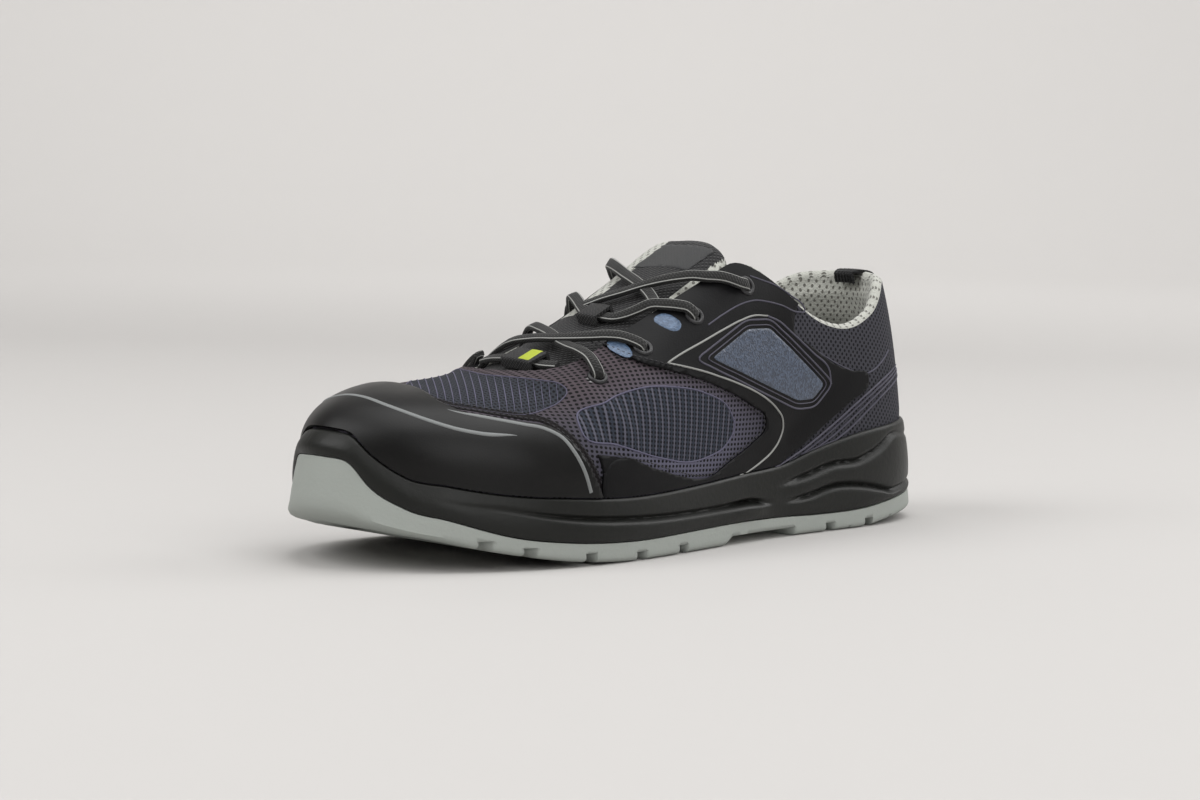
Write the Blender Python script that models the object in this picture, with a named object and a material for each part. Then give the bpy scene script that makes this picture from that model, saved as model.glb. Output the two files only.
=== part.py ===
"""Safety sneaker for the left foot, empty and standing on its sole.

Lengths are in metres. The toe points along -Y, the outer side of the foot faces +X, +Z is up
and the floor is at z = 0. A station is a share of the sole's length, 0 at the heel, 1 at the toe.
"""

import math
from dataclasses import dataclass

import bpy
import numpy as np

# Driving sizes of the sole
LENGTH = 0.300
BALL_WIDTH = 0.108
SOLE_HEIGHT = 0.040
BUMPER_WALL = 0.0052
OUTSOLE_FLOOR = 0.0053
OUTSOLE_LEDGE = 0.0021
EDGE_ROUND = 0.0030
TOE_TUCK = 0.0026
GROOVE_DEPTH = 0.0018
GROOVE_HALF = 0.0013
RIM_LIP = 0.0016
TREAD_DEPTH = 0.0035
TREAD_WIDTH = 0.0052
TREAD_CHEVRON = 0.012
ARCH_RISE = 0.0035
INSOLE_THICKNESS = 0.0045

# Driving sizes of the upper
INSTEP_HEIGHT = 0.110
COLLAR_HEIGHT = 0.097
UPPER_INSET = 0.0039
WALL = 0.0022
COLLAR_PADDING = 0.0055
PADDING_DEPTH = 0.034
HEEL_LEAN = 0.15
THROAT_HALF_FRONT = 0.0265
THROAT_HALF_TOP = 0.0275
CORNER_ROUND = 0.004
TOE_CAP_THICKNESS = 0.0014
FILM_THICKNESS = 0.0008
EYELET_BORE = 0.0046
EYELET_CUT = 0.006

# Driving sizes of the tongue, laces and trims
TONGUE_THICKNESS = 0.0055
TONGUE_OVERLAP = 0.006
TONGUE_SIDE = 0.90
TONGUE_GAP = 0.0007
TONGUE_DIP = 0.0014
TONGUE_SINK = 0.0012
LACE_WIDTH = 0.0048
LACE_THICKNESS = 0.0022
WEBBING = 0.0012
TAB_WIDTH = 0.018
TAB_LEG = 0.012
TAB_INNER_LEG = 0.0035
KEEPER_WIDTH = 0.010
TAG_WIDTH = 0.016
BRIDGE_PLAY = 0.0009
BRIDGE_LENGTH = LACE_WIDTH + 2 * (WEBBING + BRIDGE_PLAY)

# Clearances: between pieces that touch, and of an overlay's foot over the sole's rim
FIT = 0.0003
OVERLAY_LIFT = 0.0009

# Fineness of the surfaces
RIBS = 38
ROWS = 9
OUTLINE_SAMPLES = 1500
PROFILE_SAMPLES = 160
EYELET_SIDES = 10
BRIDGE_COLUMNS = 5
LACE_STEP = 0.0063
LACE_LEAST = 6
TONGUE_COLUMNS = 5
TONGUE_RIBS = 14

LATERAL, MEDIAL = 0, 1
SIDE_SIGN = (1.0, -1.0)


class Table:
    """Smooth curves through the named columns of a short table, over its first column."""

    def __init__(self, columns, rows):
        self.names = columns.split()
        self.rows = np.array(rows, float)

    def at(self, name, where):
        """Value of a column at one place or at an array of places."""
        x = self.rows[:, 0]
        y = self.rows[:, self.names.index(name)]
        step = np.diff(x)
        slope = np.diff(y) / step
        tangent = np.empty(len(x))
        tangent[0] = slope[0]
        tangent[-1] = slope[-1]
        tangent[1:-1] = (slope[:-1] * step[1:] + slope[1:] * step[:-1]) / (step[:-1] + step[1:])
        q = np.clip(where, x[0], x[-1])
        k = np.clip(np.searchsorted(x, q, side="right") - 1, 0, len(step) - 1)
        u = (q - x[k]) / step[k]
        start = (2 * u**3 - 3 * u**2 + 1) * y[k] + (u**3 - 2 * u**2 + u) * step[k] * tangent[k]
        end = (3 * u**2 - 2 * u**3) * y[k + 1] + (u**3 - u**2) * step[k] * tangent[k + 1]
        return start + end


# Half widths of the sole on each side, as shares of half the ball width
PLAN = Table("station lateral medial", [
    (0.015, 0.31, 0.31),
    (0.060, 0.55, 0.55),
    (0.140, 0.69, 0.67),
    (0.260, 0.73, 0.69),
    (0.400, 0.79, 0.66),
    (0.520, 0.90, 0.70),
    (0.640, 1.00, 0.86),
    (0.740, 1.00, 0.96),
    (0.830, 0.89, 0.95),
    (0.905, 0.70, 0.80),
    (0.960, 0.44, 0.545),
])
TOE_TIP = -0.10

# Sideways place of the whole shoe, which centres its box on the frame
SIDEWAYS = -0.0011

# Heights of the sole as shares of its height at the heel, and the tuck of its side as a share
SOLE = Table("station ground split rim bed tuck", [
    (0.000, 0.125, 0.33, 1.01, 0.66, 0.3),
    (0.120, 0.045, 0.23, 0.97, 0.65, 0.2),
    (0.170, 0.000, 0.19, 0.94, 0.64, 0.2),
    (0.270, 0.000, 0.175, 0.81, 0.60, 0.2),
    (0.335, 0.000, 0.19, 0.695, 0.54, 0.2),
    (0.420, 0.000, 0.20, 0.645, 0.47, 0.2),
    (0.540, 0.000, 0.19, 0.59, 0.40, 0.2),
    (0.660, 0.000, 0.18, 0.57, 0.37, 0.2),
    (0.760, 0.055, 0.22, 0.61, 0.39, 0.2),
    (0.830, 0.135, 0.29, 0.65, 0.43, 0.2),
    (0.905, 0.245, 0.455, 0.745, 0.51, 0.4),
    (0.947, 0.300, 0.56, 0.825, 0.55, 0.6),
    (0.975, 0.340, 0.75, 1.02, 0.58, 0.8),
    (0.988, 0.355, 0.94, 1.16, 0.59, 0.9),
    (1.000, 0.375, 0.975, 1.195, 0.60, 1.0),
])

# Two moulded lines along the midsole's side: heights as shares of the sole's height,
# and depths as shares of the groove's depth
SIDE_LINES = Table("station low low_depth high high_depth", [
    (0.000, 0.42, 0.4, 0.80, 0.2),
    (0.060, 0.37, 0.6, 0.86, 0.4),
    (0.105, 0.315, 0.9, 0.88, 0.8),
    (0.140, 0.365, 1.0, 0.77, 1.0),
    (0.190, 0.425, 1.0, 0.665, 1.0),
    (0.240, 0.44, 1.0, 0.65, 1.0),
    (0.295, 0.37, 0.9, 0.565, 1.0),
    (0.345, 0.34, 0.1, 0.51, 0.1),
    (0.375, 0.35, 0.3, 0.50, 0.0),
    (0.400, 0.375, 1.4, 0.51, 0.0),
    (0.470, 0.365, 1.0, 0.49, 0.0),
    (0.650, 0.38, 1.0, 0.475, 0.0),
    (0.750, 0.433, 0.9, 0.52, 0.0),
    (0.840, 0.53, 0.4, 0.60, 0.0),
    (0.920, 0.65, 0.0, 0.72, 0.0),
    (1.000, 1.05, 0.0, 1.12, 0.0),
])

# Ridge of the closed upper as a share of the instep height, roundness of its sections on each
# side, and the ridge's place across the foot as a share of half the ball width
UPPER = Table("station ridge lateral medial across", [
    (0.13, 1.255, 2.4, 2.4, 0.00),
    (0.25, 1.182, 2.5, 2.9, -0.01),
    (0.33, 1.109, 2.9, 4.5, -0.01),
    (0.40, 1.027, 3.1, 5.0, -0.02),
    (0.46, 0.936, 3.0, 4.5, -0.02),
    (0.56, 0.791, 2.6, 3.1, -0.045),
    (0.66, 0.668, 2.4, 2.4, -0.055),
    (0.74, 0.586, 2.25, 2.25, -0.11),
    (0.82, 0.555, 2.45, 2.45, -0.185),
])
HEEL_CENTRE = UPPER.rows[0, 0]
TOE_CENTRE = UPPER.rows[-1, 0]

# Foot of the upper: inset from the sole's outline as a share of the inset, and the height
# where it is widest as a share of the sole's height
FOOT = Table("station inset widest", [
    (0.00, 1.33, 1.10),
    (0.10, 1.11, 1.07),
    (0.40, 1.00, 0.80),
    (0.60, 1.00, 0.70),
    (0.80, 1.00, 0.75),
    (0.92, 1.29, 0.87),
    (1.00, 1.44, 1.00),
])

# Collar line on each side as a share of the collar height
COLLAR = Table("station lateral medial", [
    (0.00, 1.000, 1.000),
    (0.06, 0.970, 0.980),
    (0.13, 0.856, 0.907),
    (0.19, 0.804, 0.856),
    (0.25, 0.835, 0.897),
    (0.30, 0.918, 0.969),
    (0.35, 1.010, 1.031),
    (0.39, 1.072, 1.072),
    (0.44, 1.155, 1.155),
])

# Throat: front end, length of its rounded front and of its widening, as stations, and the ribs
# that stand closely around its front, as distances behind it
THROAT_FRONT = 0.725
THROAT_ROUND = 0.065
THROAT_SPREAD = 0.335
THROAT_RIBS = (-0.001, 0.004, 0.016)
COLLAR_END = 0.44
LEAN_START = 0.36
LEAN_LENGTH = 0.30

# Padding of the collar: where it begins, how fast it swells, and its thinner rounded lip
PADDING_START = 0.37
PADDING_BLEND = 0.06
PADDING_SWELL = 0.6
PADDING_LIP = 0.55

# Eyelet rows: station, and height as a share of the instep height
EYELETS = [
    (0.655, 0.590),
    (0.577, 0.672),
    (0.488, 0.772),
    (0.392, 0.868),
]

# How far the inner side's eyestay lies below the outer one, as a share of the instep height
MEDIAL_DROP = Table("station drop", [
    (0.250, 0.000),
    (0.392, 0.031),
    (0.488, 0.082),
    (0.577, 0.090),
    (0.655, 0.070),
    (0.720, 0.060),
])
DROP_LOW = 0.25
DROP_RISE = 0.35

# The sole's rim under the overlays: share of the sole height, and of the instep height in the outlines
RIM_LEVEL = 0.60
RIM_SHARE = 0.218

# Rear edge of the toe cap seen from the side: station, height as a share of the instep height
CAP_EDGE = [
    (0.700, 0.00),
    (0.706, 0.22),
    (0.721, 0.292),
    (0.734, 0.356),
    (0.746, 0.405),
    (0.763, 0.448),
    (0.788, 0.462),
    (0.835, 0.485),
    (0.862, 0.505),
    (0.870, 0.530),
    (0.862, 0.560),
    (0.845, 0.62),
]

# Edge of the film overlay seen from the side: station, height as a share of the instep height
FILM_EDGE = [
    (0.640, 1.30),
    (0.640, 0.80),
    (0.622, 0.690),
    (0.602, 0.640),
    (0.565, 0.608),
    (0.520, 0.578),
    (0.465, 0.532),
    (0.405, 0.465),
    (0.376, 0.420),
    (0.377, 0.380),
    (0.400, 0.340),
    (0.450, 0.285),
    (0.500, 0.237),
    (0.515, 0.237),
    (0.560, 0.257),
    (0.614, 0.295),
    (0.680, 0.335),
    (0.694, 0.318),
    (0.692, 0.05),
    (0.354, 0.05),
    (0.350, 0.235),
    (0.300, 0.310),
    (0.250, 0.385),
    (0.200, 0.455),
    (0.165, 0.510),
    (0.165, 0.540),
    (0.200, 0.560),
    (0.240, 0.592),
    (0.278, 0.650),
    (0.315, 0.715),
    (0.312, 0.760),
    (0.285, 0.860),
    (0.285, 1.30),
]

# Stations between which the film overlays lie, and how far the toe cap's sheet runs behind it
FILM_BACK = 0.12
FILM_AHEAD = 0.72
CAP_MARGIN = 0.03

# Sections of the midsole's side: its middle, the margin and half width of a line as shares of
# the space around it, the swell beside it, and how the side leans
SIDE_MIDDLE = 0.45
LINE_MARGIN = 0.12
LINE_SPACE = 0.3
LINE_SWELL = 0.3
LINE_FADE = 0.2
SIDE_CURVE = 1.6

# Rounding of the insole's edge as a share of its thickness
INSOLE_ROUND = 0.3

# Tread: stations of the cross grooves, and the arch between heel and forefoot
TREAD_GROOVES = [0.170, 0.250, 0.561, 0.644, 0.728, 0.812, 0.865]
ARCH_FRONT = 0.495
ARCH_BACK = 0.322
ARCH_SLOPE = 0.012

# Tongue: its ends as stations, and the rounding of its top corners in metres
TONGUE_FRONT = 0.755
TONGUE_TOP = 0.385
TONGUE_CORNER = 0.016

# Lace section: width and thickness as shares of the lace's own
LACE_SECTION = [(-0.5, 0.0), (-0.36, 0.5), (0.36, 0.5), (0.5, 0.0), (0.36, -0.5), (-0.36, -0.5)]

# Laces: the lift of the lace inside its keeper, and the runs. Each run goes from a lateral to a
# medial place. A place is a station and a turn, 1 at the lateral eyelet, 0 on the ridge and -1
# at the medial eyelet. The lift over the closed upper is a share of the lace's thickness.
KEEPER_LIFT = -0.60
LACE_RUNS = {
    "lace_row_one": [
        [(0.676, 0.66, -0.60), (0.684, 0.52, -0.62), (0.684, 0.25, -0.62), (0.684, 0.0, -0.62),
         (0.683, -0.35, -0.62), (0.676, -0.58, -0.60)],
    ],
    "lace_cross_front": [
        [(0.577, 1.00, 1.25), (0.590, 0.87, 1.20), (0.608, 0.70, 1.15), (0.618, 0.60, 0.95),
         (0.630, 0.45, 0.80), (0.641, 0.25, 0.75), (0.648, 0.00, 0.75), (0.656, -0.22, 0.75),
         (0.661, -0.45, 0.80), (0.661, -0.72, 1.00), (0.655, -1.00, 1.25)],
        [(0.655, 1.00, 1.25), (0.653, 0.92, 1.20), (0.649, 0.80, 1.15), (0.648, 0.68, 0.95),
         (0.646, 0.50, 0.45), (0.640, 0.30, 0.15), (0.629, 0.09, 0.05), (0.617, -0.19, 0.05),
         (0.606, -0.45, 0.35), (0.594, -0.72, 1.10), (0.585, -0.87, 1.25), (0.577, -1.00, 1.35)],
    ],
    "lace_cross_top": [
        [(0.488, 1.00, 1.25), (0.495, 0.94, 1.25), (0.506, 0.87, 1.20), (0.519, 0.79, 1.20),
         (0.530, 0.71, 1.10), (0.543, 0.62, 0.20), (0.556, 0.52, -0.45), (0.565, 0.43, KEEPER_LIFT),
         (0.568, 0.33, KEEPER_LIFT), (0.569, 0.18, KEEPER_LIFT), (0.568, 0.05, KEEPER_LIFT),
         (0.560, -0.10, -0.42), (0.546, -0.33, -0.10), (0.530, -0.58, 0.45), (0.510, -0.80, 1.15),
         (0.499, -0.90, 1.25), (0.488, -1.00, 1.35)],
        [(0.392, 1.00, 1.25), (0.407, 0.97, 1.25), (0.430, 0.88, 1.20), (0.450, 0.80, 1.20),
         (0.461, 0.73, 1.15), (0.475, 0.63, 0.85), (0.490, 0.50, 0.55), (0.505, 0.36, 0.35),
         (0.524, 0.18, 0.10), (0.539, 0.00, -0.05), (0.552, -0.15, -0.30)],
        [(0.392, -1.00, 1.35), (0.412, -0.97, 1.25), (0.436, -0.86, 1.15), (0.456, -0.70, 0.70),
         (0.472, -0.46, 0.35), (0.486, -0.13, 0.05), (0.499, 0.20, -0.10), (0.510, 0.48, -0.15),
         (0.518, 0.64, 0.10), (0.524, 0.71, 0.60)],
    ],
}

# Bridges sewn on the tongue for the lace: station, distance from the ridge, lift of the lace
KEEPER_PLACE = (0.568, 0.0065, KEEPER_LIFT)
TAG_PLACE = (0.684, 0.0075, -0.62)


def set_scene_empty():
    """Remove every object of the scene."""
    for old in list(bpy.data.objects):
        bpy.data.objects.remove(old, do_unlink=True)


def material(name, colour, roughness, metallic=0.0):
    """Principled material with an sRGB colour given as #rrggbb."""
    channels = [int(colour[k:k + 2], 16) / 255 for k in (1, 3, 5)]
    linear = [c / 12.92 if c <= 0.04045 else ((c + 0.055) / 1.055) ** 2.4 for c in channels]
    mat = bpy.data.materials.new(name)
    mat.use_nodes = True
    shader = mat.node_tree.nodes["Principled BSDF"]
    shader.inputs["Base Color"].default_value = (*linear, 1.0)
    shader.inputs["Roughness"].default_value = roughness
    shader.inputs["Metallic"].default_value = metallic
    return mat


def add_object(name, points, faces, mat=None, smooth_angle=35):
    """New mesh object from points and faces, shaded smooth up to an angle."""
    mesh = bpy.data.meshes.new(name)
    mesh.from_pydata([tuple(map(float, p)) for p in points], [], [tuple(map(int, f)) for f in faces])
    mesh.validate()
    if mat is not None:
        mesh.materials.append(mat)
    mesh.shade_smooth()
    mesh.set_sharp_from_angle(angle=math.radians(smooth_angle))
    thing = bpy.data.objects.new(name, mesh)
    bpy.context.scene.collection.objects.link(thing)
    return thing


def boolean(target, cutter, operation):
    """Boolean modifier with a hidden cutter."""
    cutter.hide_render = True
    cutter.display_type = "WIRE"
    step = target.modifiers.new(cutter.name, "BOOLEAN")
    step.operation = operation
    step.solver = "EXACT"
    step.object = cutter
    return step


def prism(name, outline, axis, low, high):
    """Closed prism over an outline: (y, z) points along X, or (x, y) points along Z."""
    outline = [tuple(p) for p in outline]
    if signed_area(outline) < 0:
        outline.reverse()
    count = len(outline)
    if axis == "X":
        points = [(low, a, b) for a, b in outline] + [(high, a, b) for a, b in outline]
    else:
        points = [(a, b, low) for a, b in outline] + [(a, b, high) for a, b in outline]
    faces = [tuple(reversed(range(count))), tuple(range(count, 2 * count))]
    for k in range(count):
        after = (k + 1) % count
        faces.append((k, after, count + after, count + k))
    return add_object(name, points, faces)


def signed_area(outline):
    """Area of a polygon, positive when it runs anticlockwise."""
    total = 0.0
    for (a, b), (c, d) in zip(outline, outline[1:] + outline[:1]):
        total += a * d - c * b
    return total / 2


def along(station):
    """Y of a station."""
    return (0.5 - station) * LENGTH


def station_of(y):
    """Station of a y."""
    return 0.5 - y / LENGTH


def smooth_step(value):
    """Smooth ramp from 0 to 1."""
    u = np.clip(value, 0.0, 1.0)
    return u * u * (3 - 2 * u)


def smooth_min(a, b, radius):
    """Smaller of two values with a rounded change-over."""
    h = np.clip(0.5 + 0.5 * (b - a) / radius, 0, 1)
    return b * (1 - h) + a * h - radius * h * (1 - h)


def closed_spline(points):
    """Periodic cubic spline through plan points, as a function, with its knots."""
    knots = np.array(points, float)
    count = len(knots)
    ring = np.vstack([knots, knots[:1]])
    step = np.linalg.norm(np.diff(ring, axis=0), axis=1)
    start = np.concatenate([[0.0], np.cumsum(step)])
    system = np.zeros((count, count))
    right = np.zeros((count, 2))
    for i in range(count):
        before = (i - 1) % count
        system[i, before] += step[before]
        system[i, i] += 2 * (step[before] + step[i])
        system[i, (i + 1) % count] += step[i]
        right[i] = 6 * ((ring[i + 1] - ring[i]) / step[i] - (ring[i] - knots[before]) / step[before])
    bend = np.linalg.solve(system, right)
    bend = np.vstack([bend, bend[:1]])

    def curve(t):
        t = np.mod(np.asarray(t, float), start[-1])
        k = np.clip(np.searchsorted(start, t, side="right") - 1, 0, count - 1)
        size = step[k][:, None]
        a = ((start[k + 1] - t) / step[k])[:, None]
        b = ((t - start[k]) / step[k])[:, None]
        return a * ring[k] + b * ring[k + 1] + ((a**3 - a) * bend[k] + (b**3 - b) * bend[k + 1]) * size**2 / 6

    return curve, start


class PlanOutline:
    """Outline of the sole in plan, read on each side from heel to toe by share of its length."""

    def __init__(self):
        half = BALL_WIDTH / 2
        places = [(0.0, along(0.0))]
        places += [(row[1] * half, along(row[0])) for row in PLAN.rows]
        places += [(TOE_TIP * half, along(1.0))]
        places += [(-row[2] * half, along(row[0])) for row in PLAN.rows[::-1]]
        curve, start = closed_spline([(x + SIDEWAYS, y) for x, y in places])
        toe = start[len(PLAN.rows) + 1]
        self.samples = []
        for first, last in ((0.0, toe), (start[-1] - 1e-9, toe)):
            t = np.linspace(first, last, OUTLINE_SAMPLES)
            points = curve(t)
            ahead = curve(t + 1e-5) - curve(t - 1e-5)
            ahead /= np.linalg.norm(ahead, axis=1)[:, None]
            normals = np.stack([-ahead[:, 1], ahead[:, 0]], 1)
            lengths = np.linalg.norm(np.diff(points, axis=0), axis=1)
            run = np.concatenate([[0.0], np.cumsum(lengths)])
            self.samples.append((run / run[-1], points, normals))

    def at(self, side, share):
        """Point and outward normal at a share of one side."""
        run, points, normals = self.samples[side]
        point = np.array([np.interp(share, run, points[:, k]) for k in (0, 1)])
        normal = np.array([np.interp(share, run, normals[:, k]) for k in (0, 1)])
        return point, normal / np.linalg.norm(normal)


OUTLINE = PlanOutline()


@dataclass
class Rib:
    """One half section of the upper, in a vertical plane from a centre to its foot."""

    side: int
    station: float
    edge: np.ndarray
    normal: np.ndarray
    centre: np.ndarray
    ahead: np.ndarray
    radius: float
    widest: float
    ridge: float
    exponent: float
    lean: float

    def radius_at(self, height):
        """Distance from the centre line at a height."""
        rise = (height - self.widest) / (self.ridge - self.widest)
        rise = np.clip(rise, 0.0, 1.0)
        return self.radius * (1 - rise**self.exponent) ** (1 / self.exponent)

    def height_at(self, reach):
        """Height at a distance from the centre line."""
        share = np.clip(reach / self.radius, 0.0, 1.0)
        return self.widest + (self.ridge - self.widest) * (1 - share**self.exponent) ** (1 / self.exponent)

    def point(self, reach, height):
        """Point at a distance from the centre line and a height."""
        x, y = self.centre + self.ahead * reach
        return np.array([x, y - self.lean * max(0.0, height - self.widest), height])

    def foot_station(self):
        """Station of the foot."""
        return station_of(self.edge[1])

    def sole(self, name):
        """Height of one of the sole's lines at the foot."""
        return max(0.0, float(SOLE.at(name, self.foot_station()))) * SOLE_HEIGHT

    def top(self):
        """Height of the upper's edge, or of its ridge where it is closed."""
        if self.station >= THROAT_FRONT:
            return self.ridge
        back = THROAT_FRONT - self.station
        opening = min(1.0, back / THROAT_ROUND)
        half = THROAT_HALF_FRONT + (THROAT_HALF_TOP - THROAT_HALF_FRONT) * min(1.0, back / THROAT_SPREAD)
        throat = self.height_at(half * math.sqrt(1 - (1 - opening) ** 2))
        if self.station >= COLLAR_END:
            return float(throat)
        collar = float(COLLAR.at(("lateral", "medial")[self.side], self.foot_station())) * COLLAR_HEIGHT
        return float(smooth_min(throat, collar, CORNER_ROUND))

    def profile(self, rows):
        """Points from the foot to the edge: the foot, the sole's rim, then even steps."""
        rim = self.sole("rim")
        top = self.top()
        if top >= self.ridge - 1e-9:
            angle = np.linspace(0, math.pi / 2, PROFILE_SAMPLES)
            a, b = self.radius, self.ridge - self.widest
            radial = 1 / ((np.cos(angle) / a) ** self.exponent + (np.sin(angle) / b) ** self.exponent)
            radial = radial ** (1 / self.exponent)
            reach, height = radial * np.cos(angle), self.widest + radial * np.sin(angle)
            reach[-1] = 0.0
        else:
            height = np.linspace(self.widest, top, PROFILE_SAMPLES)
            reach = self.radius_at(height)
        above = height > rim + 1e-6
        if rim < self.widest:
            reach = np.concatenate([[self.radius], reach])
            height = np.concatenate([[rim], height])
        else:
            reach = np.concatenate([[self.radius_at(rim)], reach[above]])
            height = np.concatenate([[rim], height[above]])
        run = np.concatenate([[0.0], np.cumsum(np.hypot(np.diff(reach), np.diff(height)))])
        even = np.linspace(0, run[-1], rows)
        places = [(self.radius, self.sole("bed") + FIT)]
        places += list(zip(np.interp(even, run, reach), np.interp(even, run, height)))
        return [self.point(r, z) for r, z in places]


def rib(side, share):
    """Rib at a share of one side of the outline."""
    edge, normal = OUTLINE.at(side, share)
    other, _ = OUTLINE.at(1 - side, share)
    station = station_of((edge[1] + other[1]) / 2)
    place = float(np.clip(station, HEEL_CENTRE, TOE_CENTRE))
    centre = np.array([float(UPPER.at("across", place)) * BALL_WIDTH / 2 + SIDEWAYS, along(place)])
    own = station_of(edge[1])
    foot = edge - normal * float(FOOT.at("inset", own)) * UPPER_INSET
    radius = float(np.linalg.norm(foot - centre))
    return Rib(
        side=side,
        station=station,
        edge=edge,
        normal=normal,
        centre=centre,
        ahead=(foot - centre) / radius,
        radius=radius,
        widest=float(FOOT.at("widest", own)) * SOLE_HEIGHT,
        ridge=float(UPPER.at("ridge", place)) * INSTEP_HEIGHT,
        exponent=float(UPPER.at(("lateral", "medial")[side], place)),
        lean=HEEL_LEAN * float(np.clip((LEAN_START - station) / LEAN_LENGTH, 0, 1)),
    )


def rib_shares():
    """Shares of a side where ribs stand: even steps, and closer ones at the throat's front."""
    even = [k / RIBS for k in range(RIBS + 1)]
    stations = [rib(LATERAL, share).station for share in even]
    extra = [float(np.interp(THROAT_FRONT - back, stations, even)) for back in THROAT_RIBS]
    apart = [share for share in even if min(abs(share - more) for more in extra) > 0.25 / RIBS]
    return sorted(apart + extra)


SHARES = rib_shares()
RIB_COUNT = len(SHARES)
ALL_RIBS = [[rib(side, share) for share in SHARES] for side in (LATERAL, MEDIAL)]


def rib_at(side, station):
    """Rib whose centre line passes a station, ahead of the heel centre."""
    stations = [r.station for r in ALL_RIBS[side]]
    return rib(side, float(np.interp(station, stations, SHARES)))


def weld(points, faces):
    """Join points that coincide and drop faces that collapse."""
    points = np.array(points, float)
    keys = np.round(points / 1e-6).astype(np.int64)
    _, first, inverse = np.unique(keys, axis=0, return_index=True, return_inverse=True)
    inverse = inverse.reshape(-1)
    cleaned = []
    for face in faces:
        ring = []
        for k in (inverse[i] for i in face):
            if k not in ring:
                ring.append(int(k))
        if len(ring) > 2:
            cleaned.append(tuple(ring))
    return points[first], cleaned, inverse


class Skin:
    """A surface patch with its normals, from which solids of some thickness are made."""

    def __init__(self, grids, windings, level=()):
        points, faces = [], []
        for grid, winding in zip(grids, windings):
            base = len(points)
            columns, rows = len(grid), len(grid[0])
            points += [p for line in grid for p in line]
            for i in range(columns - 1):
                for j in range(rows - 1):
                    a = base + i * rows + j
                    for face in ((a, a + rows, a + rows + 1), (a, a + rows + 1, a + 1)):
                        faces.append(face if winding > 0 else face[::-1])
        self.points, self.faces, self.place = weld(points, faces)
        self.normals = self.point_normals()
        for k in level:
            self.flatten(self.place[k])

    def point_normals(self):
        """Normals of the points, weighted by the area around them."""
        normals = np.zeros_like(self.points)
        for face in self.faces:
            corner = self.points[list(face)]
            area = np.cross(corner[1] - corner[0], corner[2] - corner[0])
            for k in face:
                normals[k] += area
        return normals / np.linalg.norm(normals, axis=1)[:, None]

    def flatten(self, k):
        """Turn one normal level."""
        self.normals[k, 2] = 0.0
        self.normals[k] /= np.linalg.norm(self.normals[k])

    def border(self):
        """Edges that belong to one face."""
        seen = {}
        for face in self.faces:
            for a, b in zip(face, face[1:] + face[:1]):
                seen[(a, b)] = True
        return [(a, b) for a, b in seen if (b, a) not in seen]

    def solid(self, inner, outer):
        """Closed solid between two offsets along the normals, numbers or one per point."""
        low = self.points + self.normals * np.reshape(inner * np.ones(len(self.points)), (-1, 1))
        high = self.points + self.normals * np.reshape(outer * np.ones(len(self.points)), (-1, 1))
        count = len(self.points)
        faces = [tuple(k + count for k in face) for face in self.faces]
        faces += [face[::-1] for face in self.faces]
        faces += [(a, b, b + count, a + count) for a, b in self.border()]
        return np.vstack([low, high]), faces


def upper_skin():
    """Outer surface of the upper."""
    grids = [[r.profile(ROWS) for r in ALL_RIBS[side]] for side in (LATERAL, MEDIAL)]
    level = range(0, 2 * RIB_COUNT * (ROWS + 1), ROWS + 1)
    return Skin(grids, (-1, 1), level)


def padding(skin):
    """Extra wall of the padded collar at each point of the skin."""
    extra = np.zeros(len(skin.points))
    for side in (LATERAL, MEDIAL):
        for k, r in enumerate(ALL_RIBS[side]):
            amount = COLLAR_PADDING * smooth_step((PADDING_START - r.station) / PADDING_BLEND)
            top = r.top()
            for row in range(ROWS + 1):
                index = skin.place[(side * RIB_COUNT + k) * (ROWS + 1) + row]
                depth = top - skin.points[index, 2]
                share = smooth_step((PADDING_DEPTH - depth) / (PADDING_SWELL * PADDING_DEPTH))
                if row == ROWS:
                    share = PADDING_LIP
                extra[index] = amount * share
    return extra


def sole_rings(rows):
    """Turn rows of points, lateral and medial from heel to toe, into closed rings."""
    return [list(lateral) + list(medial)[-2:0:-1] for lateral, medial in rows]


def ring_solid(rows):
    """Closed solid from stacked rings, capped across the foot at both ends."""
    rings = sole_rings(rows)
    size = len(rings[0])
    half = size // 2
    points = [p for ring in rings for p in ring]
    faces = []
    for level in range(len(rings) - 1):
        low, high = level * size, (level + 1) * size
        for i in range(size):
            j = (i + 1) % size
            faces += [(low + i, high + i, high + j), (low + i, high + j, low + j)]
    last = (len(rings) - 1) * size
    for i in range(half):
        a, b = i, i + 1
        c, d = (size - i - 1) % size, (size - i) % size
        for cap in ((a, b, c), (a, c, d)):
            faces.append(cap)
            faces.append(tuple(last + k for k in reversed(cap)))
    points, faces, _ = weld(points, faces)
    return points, faces


def plan_row(offset, height):
    """Row of points off the sole's outline: offsets and heights are functions of a rib."""
    row = []
    for side in (LATERAL, MEDIAL):
        line = []
        for r in ALL_RIBS[side]:
            x, y = r.edge + r.normal * offset(r)
            line.append(np.array([x, y, height(r)]))
        row.append(line)
    return row


def rib_row(place):
    """Row of points on the ribs, each given by a function of its rib."""
    return [[place(r) for r in ALL_RIBS[side]] for side in (LATERAL, MEDIAL)]


def tuck(r):
    """How far the sole's side stands inside the outline at the split."""
    return float(SOLE.at("tuck", r.foot_station())) * TOE_TUCK


def cup_floor(r):
    """Top of the outsole's floor, under its ledge and over its ground."""
    return min(r.sole("split") - OUTSOLE_LEDGE, r.sole("ground") + OUTSOLE_FLOOR)


def side_middle(r):
    """Height where the outsole's side stands out furthest."""
    return r.sole("ground") + SIDE_MIDDLE * (r.sole("split") - r.sole("ground"))


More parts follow.
